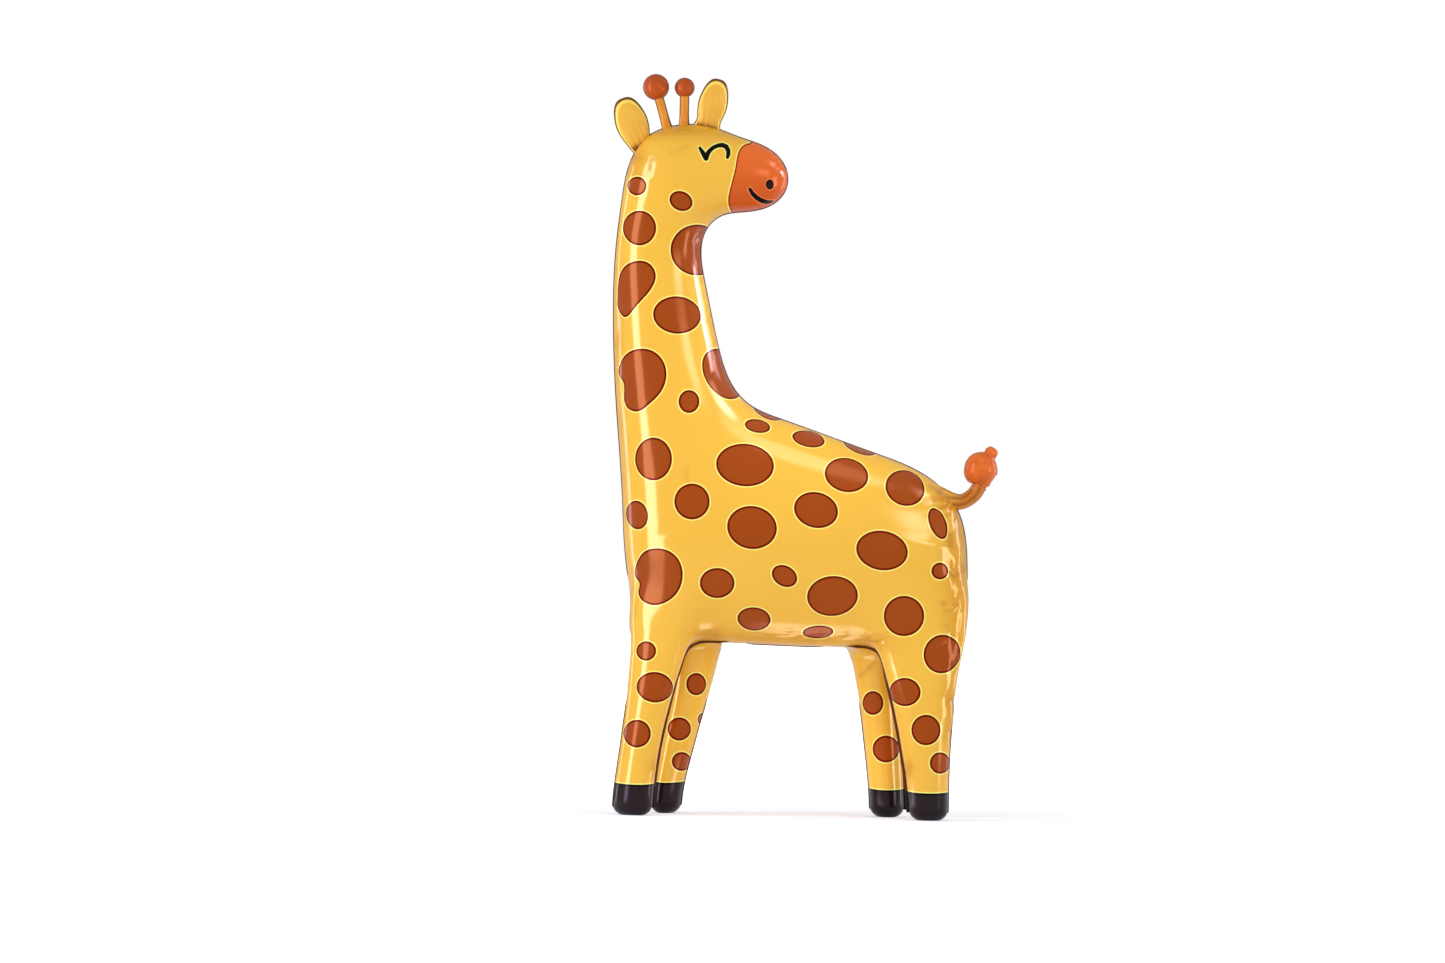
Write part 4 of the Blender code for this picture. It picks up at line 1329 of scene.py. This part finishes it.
gloss = laid_over(tree, GOLD_GLOSS, FOLD_GLOSS, crumples)
gloss = layered(tree, gloss, spots, EDGE_SOFTNESS, (RIM_GLOSS, 0.0), (SPOT_GLOSS, -RIM_WIDTH))
gloss = layered(tree, gloss, muzzle, EDGE_SOFTNESS, (MUZZLE_GLOSS, 0.0))
gloss = layered(tree, gloss, hooves, EDGE_SOFTNESS, (STROKE_GLOSS, 0.0), (HOOF_GLOSS, -RIM_WIDTH))
for stroke, _ in strokes:
    gloss = layered(tree, gloss, stroke, STROKE_SOFTNESS, (STROKE_GLOSS, 0.0))
tree.links.new(gloss, shader.inputs["Specular Tint"])
body.data.materials.append(body_film)
print("body material of", len(tree.nodes), "nodes")

weld_film, tree, shader = small_film("weld_film")
# a pale weld with a brown outer edge; the strips between the legs are brown all over as painted shade in the
# gap, and around the muzzle the weld takes the same darker orange as the muzzle's shaded lower part
dark_edge = calculated(tree, "SUBTRACT", WELD_PALE_SHARE, stored(tree, "outward"))
height = coordinates(tree, object_place(tree))["Z"]
ink = layered(tree, PALE_LINE, stored(tree, "muzzle_edge"), EDGE_SOFTNESS, (MUZZLE_SHADE_ORANGE, 0.0))
ink = layered(tree, ink, dark_edge, WELD_SOFTNESS, (WELD_BROWN_AND_GAP_SHADE, 0.0))
ink = layered(tree, ink, height, EDGE_SOFTNESS, (LINE_BLACK, REAR_HOOF_HEIGHT))
tree.links.new(ink, shader.inputs["Base Color"])
weld.data.materials.append(weld_film)

# %% [markdown]
# ## Closed tubes from rings
#
# The ears, the horns and the tail are all rings along a line: how wide and thick each ring is makes the
# shape. A helper joins the rings with quads and closes each end with a fan.

# %% Rings to faces
def closed_rings(rings):
    """Points and faces of a closed tube. The rings are an array of (ring, point around, three), and
    each end is closed by a fan around the mean of its ring."""
    count, around, _ = rings.shape
    number = np.arange(count * around).reshape(count, around)
    following = np.roll(number, -1, axis=1)
    walls = np.stack([number[:-1], following[:-1], following[1:], number[1:]], axis=-1).reshape(-1, 4)
    start = np.stack([following[0], number[0], np.full(around, count * around)], axis=-1)
    end = np.stack([number[-1], following[-1], np.full(around, count * around + 1)], axis=-1)
    points = np.concatenate([rings.reshape(-1, 3), [rings[0].mean(axis=0)], [rings[-1].mean(axis=0)]])
    return points, walls.tolist() + start.tolist() + end.tolist()


def ring_piece(name, node, slot, material, rings, **kept):
    """A piece of closed rings with its material. Each value that it keeps is given for every point of the
    rings, together with a pair for the middles of the two ends."""
    piece = foil_piece(name, *closed_rings(rings), node, slot)
    for value_name, (values, ends) in kept.items():
        keep_on_points(piece, **{value_name: np.append(values.ravel(), ends)})
    piece.data.materials.append(material)


def stood_up(points, foot, lean):
    """Points of a piece that stands on its own zero, leaned towards the chest and moved to its foot."""
    x, y, z = np.moveaxis(points, -1, 0)
    leaned_x = x * math.cos(lean) - z * math.sin(lean)
    leaned_z = x * math.sin(lean) + z * math.cos(lean)
    return np.stack([leaned_x + foot[0] * MM + SHIFT, y, leaned_z + foot[1] * MM], axis=-1)


def angles(count):
    """Angles of evenly spread points around a circle."""
    return 2 * np.pi * np.arange(count) / count


# %% [markdown]
# ## The ears
#
# An ear is a small flat pad of two panels, full near its tip and gathered at its foot, where it is welded to
# the head. The gathers run up the pad as soft folds that fade out. The weld around the pad is printed brown,
# with a pale line beside it.

# %% Ear pads
EAR_ROWS = 90
EAR_AROUND = 120
SEAT_DEPTH = 30
EAR_THICKNESS = 0.022
EAR_GATHER = 0.34
EAR_BROADEST_SHARE = 0.7
EAR_OPENING_POWER = 1.5
EAR_TIP_BLUNTNESS = 0.28
EAR_FLARE_REACH = 0.012
EAR_FOLDS = 5
EAR_FINE_FOLDS = 9
EAR_FINE_SHARE = 0.6
EAR_FOLD_HEIGHT = 0.0010
EAR_FOLD_FADE = 0.22
EAR_DENT_HEIGHT = 0.0004
# Each is how fast a wave of dents runs across the ear and up it
EAR_DENT_WAVES = ((9, 11), (-4, 6))
EAR_EDGE_THINNING = 0.18
EAR_EDGE_SHARPNESS = 6
EAR_SIDE_STEEPNESS = 3
EAR_CLOUDS = (30.0, 2.0)
EAR_CLOUD_SHARE = 0.6
EAR_GOLD = srgb(247, 192, 76)
EAR_CLOUD_AND_FOOT_SHADE = srgb(216, 150, 42)
EAR_PALE = srgb(255, 224, 100)
SEAM_AND_FOOT_BROWN = srgb(112, 62, 18)
# Each is how far an ink reaches and how softly it ends
FOOT_SHADE_REACH = (0.12, 0.16)
FOOT_BROWN_REACH = (0.09, 0.06)
EAR_PALE_REACH = (0.54, 0.06)
EAR_WELD_REACH = (0.38, 0.06)


def ear_rings(foot, lean, length, half_width, flare, seed):
    """Rings of a pad: a ball squeezed by its height. Half the width and thickness follow the gather, which
    opens from the foot as a power of a sine, and the flare widens the foot itself. Folds are cosines across
    the pad that fade up from the foot, and two slanted waves times one another dent it. How far each point
    is from the weld and from the foot is returned too."""
    turn = np.pi * (np.arange(EAR_ROWS) + 0.5) / EAR_ROWS
    turn, around = np.meshgrid(turn, angles(EAR_AROUND), indexing="ij")
    up = (1 - np.cos(turn)) / 2
    opening = np.sin(np.minimum(1, up / EAR_BROADEST_SHARE) * np.pi / 2) ** EAR_OPENING_POWER
    gather = EAR_GATHER + (1 - EAR_GATHER) * opening
    radius = np.sin(turn)
    across = np.cos(around) * radius * np.maximum(LEAST_SLOPE, radius) ** -EAR_TIP_BLUNTNESS
    full = np.sin(around) * radius
    height = up * (length + SEAT_DEPTH) * MM - SEAT_DEPTH * MM
    above_foot = np.maximum(height, 0) / (length * MM)
    folds = np.cos(EAR_FOLDS * np.pi * across + seed)
    folds += EAR_FINE_SHARE * np.cos(EAR_FINE_FOLDS * np.pi * across - 2 * seed)
    fade = np.exp(-above_foot / EAR_FOLD_FADE)
    dents = EAR_DENT_HEIGHT
    for pace_across, pace_up in EAR_DENT_WAVES:
        dents = dents * np.sin(pace_across * across + pace_up * above_foot + seed)
    edge_thinning = 1 - EAR_EDGE_THINNING * np.abs(np.cos(around)) ** EAR_EDGE_SHARPNESS
    thickness = EAR_THICKNESS / 2 * (1 + gather) / 2 * full * edge_thinning
    side = np.sign(np.sin(around)) * np.minimum(1, np.abs(np.sin(around)) * EAR_SIDE_STEEPNESS)
    y = thickness + side * (EAR_FOLD_HEIGHT * folds * fade + dents) * (1 - across**2)
    x = half_width * MM * (gather + flare * bell(height, EAR_FLARE_REACH)) * across
    return stood_up(np.stack([x, y, height], axis=-1), foot, lean), np.abs(full), above_foot


# Each row is a name and node, a foot, a lean, a length, half the width, the foot's flare and a seed
EARS = (
    ("ear_pad_back", "ear_back", (-304, 1196), 21.5, 98, 30.5, 0.05, 0.4),
    ("ear_pad_front", "ear_front", (-188, 1232), -13, 95, 27.5, 0.42, 1.9),
)
ear_film, tree, shader = small_film("ear_film")
foot_share = stored(tree, "foot_share")
from_rim = stored(tree, "from_rim")
clouds = calculated(tree, "MULTIPLY", noise(tree, object_place(tree), *EAR_CLOUDS), EAR_CLOUD_SHARE)
ink = laid_over(tree, EAR_GOLD, EAR_CLOUD_AND_FOOT_SHADE, clouds)
# painted shade: the ear turns darker gold and then brown towards its foot, where it is gathered into the
# head
ink = laid_over(tree, ink, EAR_CLOUD_AND_FOOT_SHADE, below(tree, foot_share, *FOOT_SHADE_REACH))
ink = laid_over(tree, ink, SEAM_AND_FOOT_BROWN, below(tree, foot_share, *FOOT_BROWN_REACH))
ink = laid_over(tree, ink, EAR_PALE, below(tree, from_rim, *EAR_PALE_REACH))
ink = laid_over(tree, ink, SEAM_AND_FOOT_BROWN, below(tree, from_rim, *EAR_WELD_REACH))
tree.links.new(ink, shader.inputs["Base Color"])
for name, node, foot, lean, *sizes in EARS:
    rings, rim_reach, up_share = ear_rings(foot, math.radians(lean), *sizes)
    kept = {"from_rim": (rim_reach, (0, 0)), "foot_share": (up_share, (0, 1))}
    ring_piece(name, node, "ear_foil", ear_film, rings, **kept)

# %% [markdown]
# ## The horns
#
# A horn is a thin foil tube with a ball on it, in one piece. Its outline is turned around its axis. The
# tube is crimped at its foot, so the outline flares there and small flutes run up from it. The seam along
# both sides is a brown line.

# %% Horns
HORN_AROUND = 64
HORN_BALL_RINGS = 44
HORN_STEM_RINGS = 39
HORN_TOP_ANGLE = 0.02
STEM_DIAMETER = 0.017
STEM_FOOT_FLARE = 1.12
STEM_FLARE_REACH = 0.02
FLUTES = 7
FLUTE_DEPTH = 0.08
STEM_FLUTE_FADE = 0.045
HORN_CLOUDS = (45.0, 2.0)
STEM_GOLD = srgb(238, 172, 56)
STEM_ORANGE = srgb(212, 116, 36)
BALL_ORANGE = srgb(198, 88, 30)
BALL_BROWN = srgb(172, 66, 18)
BALL_EDGE_SOFTNESS = 0.0006
HORN_SEAM_REACH = (0.0019, 0.0008)


def horn_rings(foot, lean, length, ball_diameter):
    """Rings of a stem with a ball. The radius is the circle's above the neck and the stem's below it, which
    widens towards its foot, with flutes as a cosine around it that fades upwards. How far each point is
    above the neck and from the seam is returned too."""
    ball = ball_diameter / 2
    stem = STEM_DIAMETER / 2
    neck_angle = math.pi - math.asin(stem / ball)
    angle = np.linspace(HORN_TOP_ANGLE, neck_angle, HORN_BALL_RINGS)
    stem_top = length + ball * math.cos(neck_angle)
    down = np.linspace(0, 1, HORN_STEM_RINGS + 1)[1:]
    stem_height = stem_top - down * (stem_top + SEAT_DEPTH * MM / 2)
    height = np.concatenate([length + ball * np.cos(angle), stem_height])
    widening = 1 + (STEM_FOOT_FLARE - 1) * np.clip(1 - stem_height / STEM_FLARE_REACH, 0, 1) ** 2
    radius = np.concatenate([ball * np.sin(angle), stem * widening])
    around = angles(HORN_AROUND)
    fade = np.exp(-np.maximum(height, 0) / STEM_FLUTE_FADE) * (height < stem_top)
    radius = radius[:, None] * (1 + FLUTE_DEPTH * fade[:, None] * np.cos(FLUTES * around)[None, :])
    height = np.broadcast_to(height[:, None], radius.shape)
    rings = np.stack([radius * np.cos(around), -radius * np.sin(around), height], axis=-1)
    full_radius = np.where(height > stem_top, ball, stem)
    aside = np.minimum(np.abs(rings[..., 1]) / full_radius, 1)
    from_seam = full_radius * (1 - np.sqrt(1 - aside**2))
    return stood_up(rings, foot, lean), height - stem_top, from_seam


# Each row is a name and node, a foot, a lean, the ball's height and its diameter
HORNS = (
    ("horn_back_foil", "horn_back", (-259, 1235), 16, 0.076, 0.047),
    ("horn_front_foil", "horn_front", (-228.5, 1241), 0, 0.067, 0.036),
)
horn_film, tree, shader = small_film("horn_film")
clouds = noise(tree, object_place(tree), *HORN_CLOUDS)
stem_ink = laid_over(tree, STEM_GOLD, STEM_ORANGE, clouds)
ball_ink = laid_over(tree, BALL_ORANGE, BALL_BROWN, clouds)
ink = layered(tree, ball_ink, stored(tree, "above_neck"), BALL_EDGE_SOFTNESS, (stem_ink, 0.0))
ink = laid_over(tree, ink, SEAM_AND_FOOT_BROWN, below(tree, stored(tree, "from_seam"), *HORN_SEAM_REACH))
tree.links.new(ink, shader.inputs["Base Color"])
for name, node, foot, lean, *sizes in HORNS:
    rings, above_neck, from_seam = horn_rings(foot, math.radians(lean), *sizes)
    kept = {"above_neck": (above_neck, above_neck[[0, -1], 0]), "from_seam": (from_seam, (0, 0))}
    ring_piece(name, node, "horn_foil", horn_film, rings, **kept)

# %% [markdown]
# ## The tail
#
# The tail is one tube that leaves the rump, turns up and swells into a ball with a small knob on it. A
# profile is carried along its path: the rings stand square to the path and take their radius from the
# profile. Folds run along the tube, and the ball has a puckered seam.

# %% Tail
TAIL_PATH = ((222, 582), (246, 578), (266, 573), (282, 572), (296, 578), (308, 589), (316, 604), (318, 620))
TAIL_PATH_STEPS = 24
TAIL_RINGS = 150
TAIL_AROUND = 72
TAIL_DIAMETER = 0.0265
TAIL_ROOT_FLARE = 1.9
TAIL_ROOT_REACH = 0.075
TAIL_LEAST_RADIUS = 0.0004
TAIL_BALL_DIAMETER = 0.060
TAIL_BALL_FOOT = 0.026
TAIL_BALL_INK_FOOT = 0.0275
TAIL_CORE_RADIUS = 0.002
TAIL_KNOB_DIAMETER = 0.0225
TAIL_KNOB_LEAN = math.radians(-30)
BALL_SEAT_SHARE = 0.36
KNOB_SEAT_SHARE = 0.38
BALL_NECK_ROUNDING = 0.006
KNOB_NECK_ROUNDING = 0.010
TAIL_FOLDS = 7
TAIL_FOLD_TWIST = 30
TAIL_FOLD_DEPTH = 0.03
TAIL_ROOT_FOLD_DEPTH = 0.09
TAIL_ROOT_FOLD_FADE = 0.04
TAIL_FOLD_TOP = 0.022
TAIL_FOLD_END_FADE = 0.01
SEAM_HEIGHT = 0.0008
SEAM_WIDTH = 0.06
PUCKER_HEIGHT = 0.0002
PUCKER_LENGTH = 0.0014
PUCKER_DRIFT_LENGTH = 0.006
PUCKER_REACH = 0.14
TAIL_CLOUDS = (40.0, 2.0)
TUBE_ORANGE = srgb(228, 150, 52)
TUBE_BROWN = srgb(190, 98, 30)
ROOT_GOLD = srgb(240, 182, 66)
TAIL_BALL_ORANGE = srgb(236, 122, 46)
TAIL_BALL_BROWN = srgb(204, 84, 26)
VALLEY_SHADE_AND_SEAM_BROWN = srgb(120, 46, 14)
VALLEY_SHADE_SHARE = 0.55
TAIL_GOLD_REACH = 0.05
TAIL_BALL_EDGE_SOFTNESS = 0.003


def circle_radius(path, middle, diameter):
    """The radius of a ball's rings where a path passes through it, and zero outside it."""
    reach = np.linalg.norm(path - middle, axis=1)
    return np.sqrt(np.maximum((diameter / 2) ** 2 - reach**2, 0))


def tail_rings():
    """Rings of the tail. Along the path the radius is the tube's, flared at the root, or that of the ball or
    the knob where the path passes them, whichever is larger, with the necks between them rounded. How far
    each point is under the ball, how deep it lies in a fold and how far it is from the root are returned
    too."""
    tube = np.array(TAIL_PATH, float) * MM
    ball_middle = tube[-1] + (0, BALL_SEAT_SHARE * TAIL_BALL_DIAMETER / 2)
    lean = np.array((-math.sin(TAIL_KNOB_LEAN), math.cos(TAIL_KNOB_LEAN)))
    knob_middle = ball_middle + lean * (TAIL_BALL_DIAMETER + KNOB_SEAT_SHARE * TAIL_KNOB_DIAMETER) / 2
    tip = knob_middle + lean * TAIL_KNOB_DIAMETER / 2
    corners = np.concatenate([tube[:-1], [ball_middle - (0, TAIL_BALL_FOOT), ball_middle, knob_middle, tip]])
    line = smooth_line(corners, TAIL_PATH_STEPS)
    at = np.linspace(0, travelled_along(line)[-1], TAIL_RINGS)
    path = read_along(line, at)
    heading = np.gradient(path, axis=0)
    heading /= np.linalg.norm(heading, axis=1, keepdims=True)
    root_share = np.clip(1 - at / TAIL_ROOT_REACH, 0, 1) ** 2
    tube_radius = TAIL_DIAMETER / 2 * (1 + (TAIL_ROOT_FLARE - 1) * root_share)
    tube_radius = np.where(path[:, 1] > ball_middle[1], TAIL_CORE_RADIUS, tube_radius)
    ball_radius = circle_radius(path, ball_middle, TAIL_BALL_DIAMETER)
    knob_radius = circle_radius(path, knob_middle, TAIL_KNOB_DIAMETER)
    radius = -blended(-tube_radius, -ball_radius, BALL_NECK_ROUNDING)
    radius = -blended(-radius, -knob_radius, KNOB_NECK_ROUNDING)
    radius = np.maximum(radius * (at < at[-1]), TAIL_LEAST_RADIUS)
    around = angles(TAIL_AROUND)
    below_ball = ball_middle[1] - path[:, 1]
    on_tube = np.clip((below_ball - TAIL_FOLD_TOP) / TAIL_FOLD_END_FADE, 0, 1)[:, None]
    depth = TAIL_ROOT_FOLD_DEPTH * np.exp(-at / TAIL_ROOT_FOLD_FADE) + TAIL_FOLD_DEPTH
    fold = np.cos(TAIL_FOLDS * around[None, :] + TAIL_FOLD_TWIST * at[:, None])
    seam = bell(np.sin(around), SEAM_WIDTH)[None, :]
    wave = np.cos(at / PUCKER_LENGTH + 2 * np.sin(at / PUCKER_DRIFT_LENGTH))
    puckers = np.exp(-np.abs(np.sin(around)) / PUCKER_REACH)[None, :] * wave[:, None]
    radius = radius[:, None] * (1 + depth[:, None] * on_tube * fold)
    radius = radius + (1 - on_tube) * (SEAM_HEIGHT * seam + PUCKER_HEIGHT * puckers)
    x = path[:, 0, None] - heading[:, 1, None] * radius * np.cos(around) + SHIFT
    z = path[:, 1, None] + heading[:, 0, None] * radius * np.cos(around)
    y = -radius * np.sin(around)
    valley = (0.5 - 0.5 * fold) * on_tube + 0.5 * (1 - on_tube) * (seam + np.maximum(-puckers, 0))
    under_ball = np.broadcast_to(below_ball[:, None] - TAIL_BALL_INK_FOOT, radius.shape)
    return np.stack([x, y, z], axis=-1), under_ball, valley, np.broadcast_to(at[:, None], radius.shape)


tail_film, tree, shader = small_film("tail_film")
clouds = noise(tree, object_place(tree), *TAIL_CLOUDS)
near_root = below(tree, stored(tree, "from_root"), TAIL_GOLD_REACH, TAIL_GOLD_REACH / 2)
# painted shade: brown in the valleys of the tube's folds and the ball's puckers; along the ball's seam the
# same brown is a dark line
valleys = calculated(tree, "MULTIPLY", stored(tree, "valley"), VALLEY_SHADE_SHARE)
tube_ink = laid_over(tree, laid_over(tree, TUBE_ORANGE, TUBE_BROWN, clouds), ROOT_GOLD, near_root)
ball_ink = laid_over(tree, TAIL_BALL_ORANGE, TAIL_BALL_BROWN, clouds)
ink = layered(tree, tube_ink, stored(tree, "under_ball"), TAIL_BALL_EDGE_SOFTNESS, (ball_ink, 0.0))
ink = laid_over(tree, ink, VALLEY_SHADE_AND_SEAM_BROWN, valleys)
tree.links.new(ink, shader.inputs["Base Color"])
rings, under_ball, valley, from_root = tail_rings()
kept = {
    "under_ball": (under_ball, under_ball[[0, -1], 0]),
    "valley": (valley, (0, 0)),
    "from_root": (from_root, (0, 1)),
}
ring_piece("tail_foil", "tail", "tail_foil", tail_film, rings, **kept)

# %% [markdown]
# ## The studio
#
# Gloss shows what stands around it. The long streaks on the balloon are tall soft boxes to its left and
# right. A wide one higher up lights the neck, three smaller ones the muzzle, the shoulder and the back, a
# small one under the belly its rounding, and two behind the balloon its rims. Most of them fade towards
# their edges, so their reflections end softly. The rest is a pale room, brighter on the viewer's side,
# with a pale floor.

# %% Floor, room and lights
FLOOR_RADIUS = 30.0
FLOOR_RIM_POINTS = 96
FLOOR_PAINT = (0.9, 0.9, 0.9, 1.0)
FLOOR_ROUGHNESS = 0.9
FLOOR_UNSEEN = (0.95, 0.95, 0.95, 1.0)
# Each row is where a glow starts to change and ends changing, and its two values there
FLOOR_GLOW = (0.35, 2.2, 0.35, 1.0)
ROOM_GLOW = (-0.3, 0.5, 0.66, 0.38)
WHITE = (1.0, 1.0, 1.0, 1.0)
BOX_COLOUR = (0.88, 0.91, 1.25)
BODY_MIDDLE = (0.0, 0.0, 0.65)


def by_camera(tree, unseen, seen, output):
    """The second shader where the camera looks straight at it, and the first for all other light."""
    path = tree.nodes.new("ShaderNodeLightPath")
    choice = tree.nodes.new("ShaderNodeMixShader")
    feed(tree, choice.inputs, (path.outputs["Is Camera Ray"], unseen, seen))
    tree.links.new(choice.outputs[0], output)


def floor_disc():
    """A flat disc: points around a circle and one face. To the camera it glows more the further it is from
    the balloon, so that it ends as white as the room. For all other light it is a plain pale grey."""
    around = angles(FLOOR_RIM_POINTS)
    points = np.stack([FLOOR_RADIUS * np.cos(around), FLOOR_RADIUS * np.sin(around), 0 * around], axis=1)
    mesh = bpy.data.meshes.new("floor")
    mesh.from_pydata(points.tolist(), [], [list(range(FLOOR_RIM_POINTS))])
    floor = bpy.data.objects.new("floor", mesh)
    bpy.context.scene.collection.objects.link(floor)
    material = bpy.data.materials.new("pale_floor")
    material.use_nodes = True
    tree = material.node_tree
    paint = tree.nodes["Principled BSDF"]
    paint.inputs["Base Color"].default_value = FLOOR_PAINT
    paint.inputs["Roughness"].default_value = FLOOR_ROUGHNESS
    paint.inputs["Emission Color"].default_value = WHITE
    reach = vector_calculated(tree, "LENGTH", object_place(tree), result="Value")
    tree.links.new(faded(tree, reach, *FLOOR_GLOW), paint.inputs["Emission Strength"])
    grey = tree.nodes.new("ShaderNodeBsdfDiffuse")
    grey.inputs["Color"].default_value = FLOOR_UNSEEN
    by_camera(tree, grey.outputs[0], paint.outputs[0], tree.nodes["Material Output"].inputs["Surface"])
    mesh.materials.append(material)


def fade_edges(data, fade):
    """Makes a light dim towards its edges. From an edge inwards its strength eases from 0 to 1 over the
    given share of the way to the middle. The shares across and up are multiplied."""
    data.use_nodes = True
    tree = data.node_tree
    place = coordinates(tree, tree.nodes.new("ShaderNodeNewGeometry").outputs["Parametric"])
    shares = []
    for axis in ("X", "Y"):
        from_middle = calculated(tree, "ABSOLUTE", calculated(tree, "SUBTRACT", place[axis], 0.5))
        shares.append(faded(tree, from_middle, 0.5 - 0.5 * fade, 0.5, 1.0, 0.0))
    tree.links.new(calculated(tree, "MULTIPLY", *shares), tree.nodes["Emission"].inputs["Strength"])


def soft_box(name, direction, distance, size, glow, aim=BODY_MIDDLE, spread=180, fade=0):
    """A rectangular light around the balloon, as bright to look at as its glow. Its direction is an azimuth,
    which is 0 where the viewer stands and 90 to the right, and an elevation. Its power is the glow times its
    area times pi. A spread under 180 degrees is a grid in front of it, that keeps its light from what lies
    aside, and a fade dims its edges."""
    data = bpy.data.lights.new(name, "AREA")
    data.shape = "RECTANGLE"
    data.size, data.size_y = size
    data.energy = glow * size[0] * size[1] * math.pi
    data.color = BOX_COLOUR
    data.spread = math.radians(spread)
    if fade:
        fade_edges(data, fade)
    light = bpy.data.objects.new(name, data)
    bpy.context.scene.collection.objects.link(light)
    turn, rise = (math.radians(angle) for angle in direction)
    back = Vector((math.sin(turn) * math.cos(rise), -math.cos(turn) * math.cos(rise), math.sin(rise)))
    light.location = Vector(aim) + back * distance
    light.rotation_mode = "QUATERNION"
    light.rotation_quaternion = back.to_track_quat("Z", "Y")
    light.visible_camera = False


floor_disc()
soft_box("left box", (-62, 0), 3.2, (0.9, 3.5), 6.8, aim=(0.0, 0.0, 1.2))
soft_box("neck box", (38, 0), 3.2, (1.9, 1.7), 3.9, aim=(0.0, 0.0, 1.85), fade=0.8)
soft_box("right box", (66, 0), 3.2, (0.8, 1.55), 6.0, aim=(0.0, 0.0, 0.68), fade=0.2)
soft_box("nose box", (106, 15), 2.0, (0.55, 0.6), 0.30, aim=(-0.06, 0.0, 1.17), spread=20, fade=0.3)
soft_box("shoulder box", (80, 42), 1.2, (1.0, 0.8), 0.45, aim=(-0.12, -0.06, 0.76), spread=34, fade=0.8)
soft_box("back box", (25, 55), 0.62, (0.6, 0.34), 0.3, aim=(0.05, -0.06, 0.7), spread=60, fade=0.5)
soft_box("right rim box", (118, 6), 3.2, (0.7, 2.4), 3.2)
soft_box("left rim box", (-118, 6), 3.2, (0.5, 2.4), 2.8)
soft_box("belly box", (0, -89), 0.53, (0.26, 0.15), 2.9, aim=(0.018, -0.045, 0.545), fade=0.6)

world = bpy.data.worlds.new("pale room")
bpy.context.scene.world = world
world.use_nodes = True
room = world.node_tree
towards = coordinates(room, room.nodes.new("ShaderNodeTexCoord").outputs["Generated"])
sky = room.nodes["Background"]
backdrop = room.nodes.new("ShaderNodeBackground")
for background in (sky, backdrop):
    background.inputs["Color"].default_value = WHITE
backdrop.inputs["Strength"].default_value = 1.0
room.links.new(faded(room, towards["Y"], *ROOM_GLOW), sky.inputs["Strength"])
by_camera(room, sky.outputs[0], backdrop.outputs[0], room.nodes["World Output"].inputs["Surface"])

scene = bpy.context.scene
scene.view_settings.view_transform = "Standard"

# %% [markdown]
# ## The camera
#
# The viewer stands sixteen metres away, level with the belly, with a long lens. A long lens keeps the near
# and the far legs about the same size. The view is tilted by the same degree as the artwork.

# %% Camera
FRAME_WIDTH = 1445
SENSOR_WIDTH = 36.0
CLIP_END = 200.0

camera_data = bpy.data.cameras.new("camera")
camera_data.sensor_width = SENSOR_WIDTH
camera_data.lens = SENSOR_WIDTH * VIEW_DISTANCE / (FRAME_WIDTH * UNIT)
camera_data.clip_end = CLIP_END
camera = bpy.data.objects.new("camera", camera_data)
scene.collection.objects.link(camera)
camera.location = VIEW_POINT.tolist()
camera.rotation_mode = "XYZ"
camera.rotation_euler = (math.pi / 2, -TILT, 0.0)
scene.camera = camera
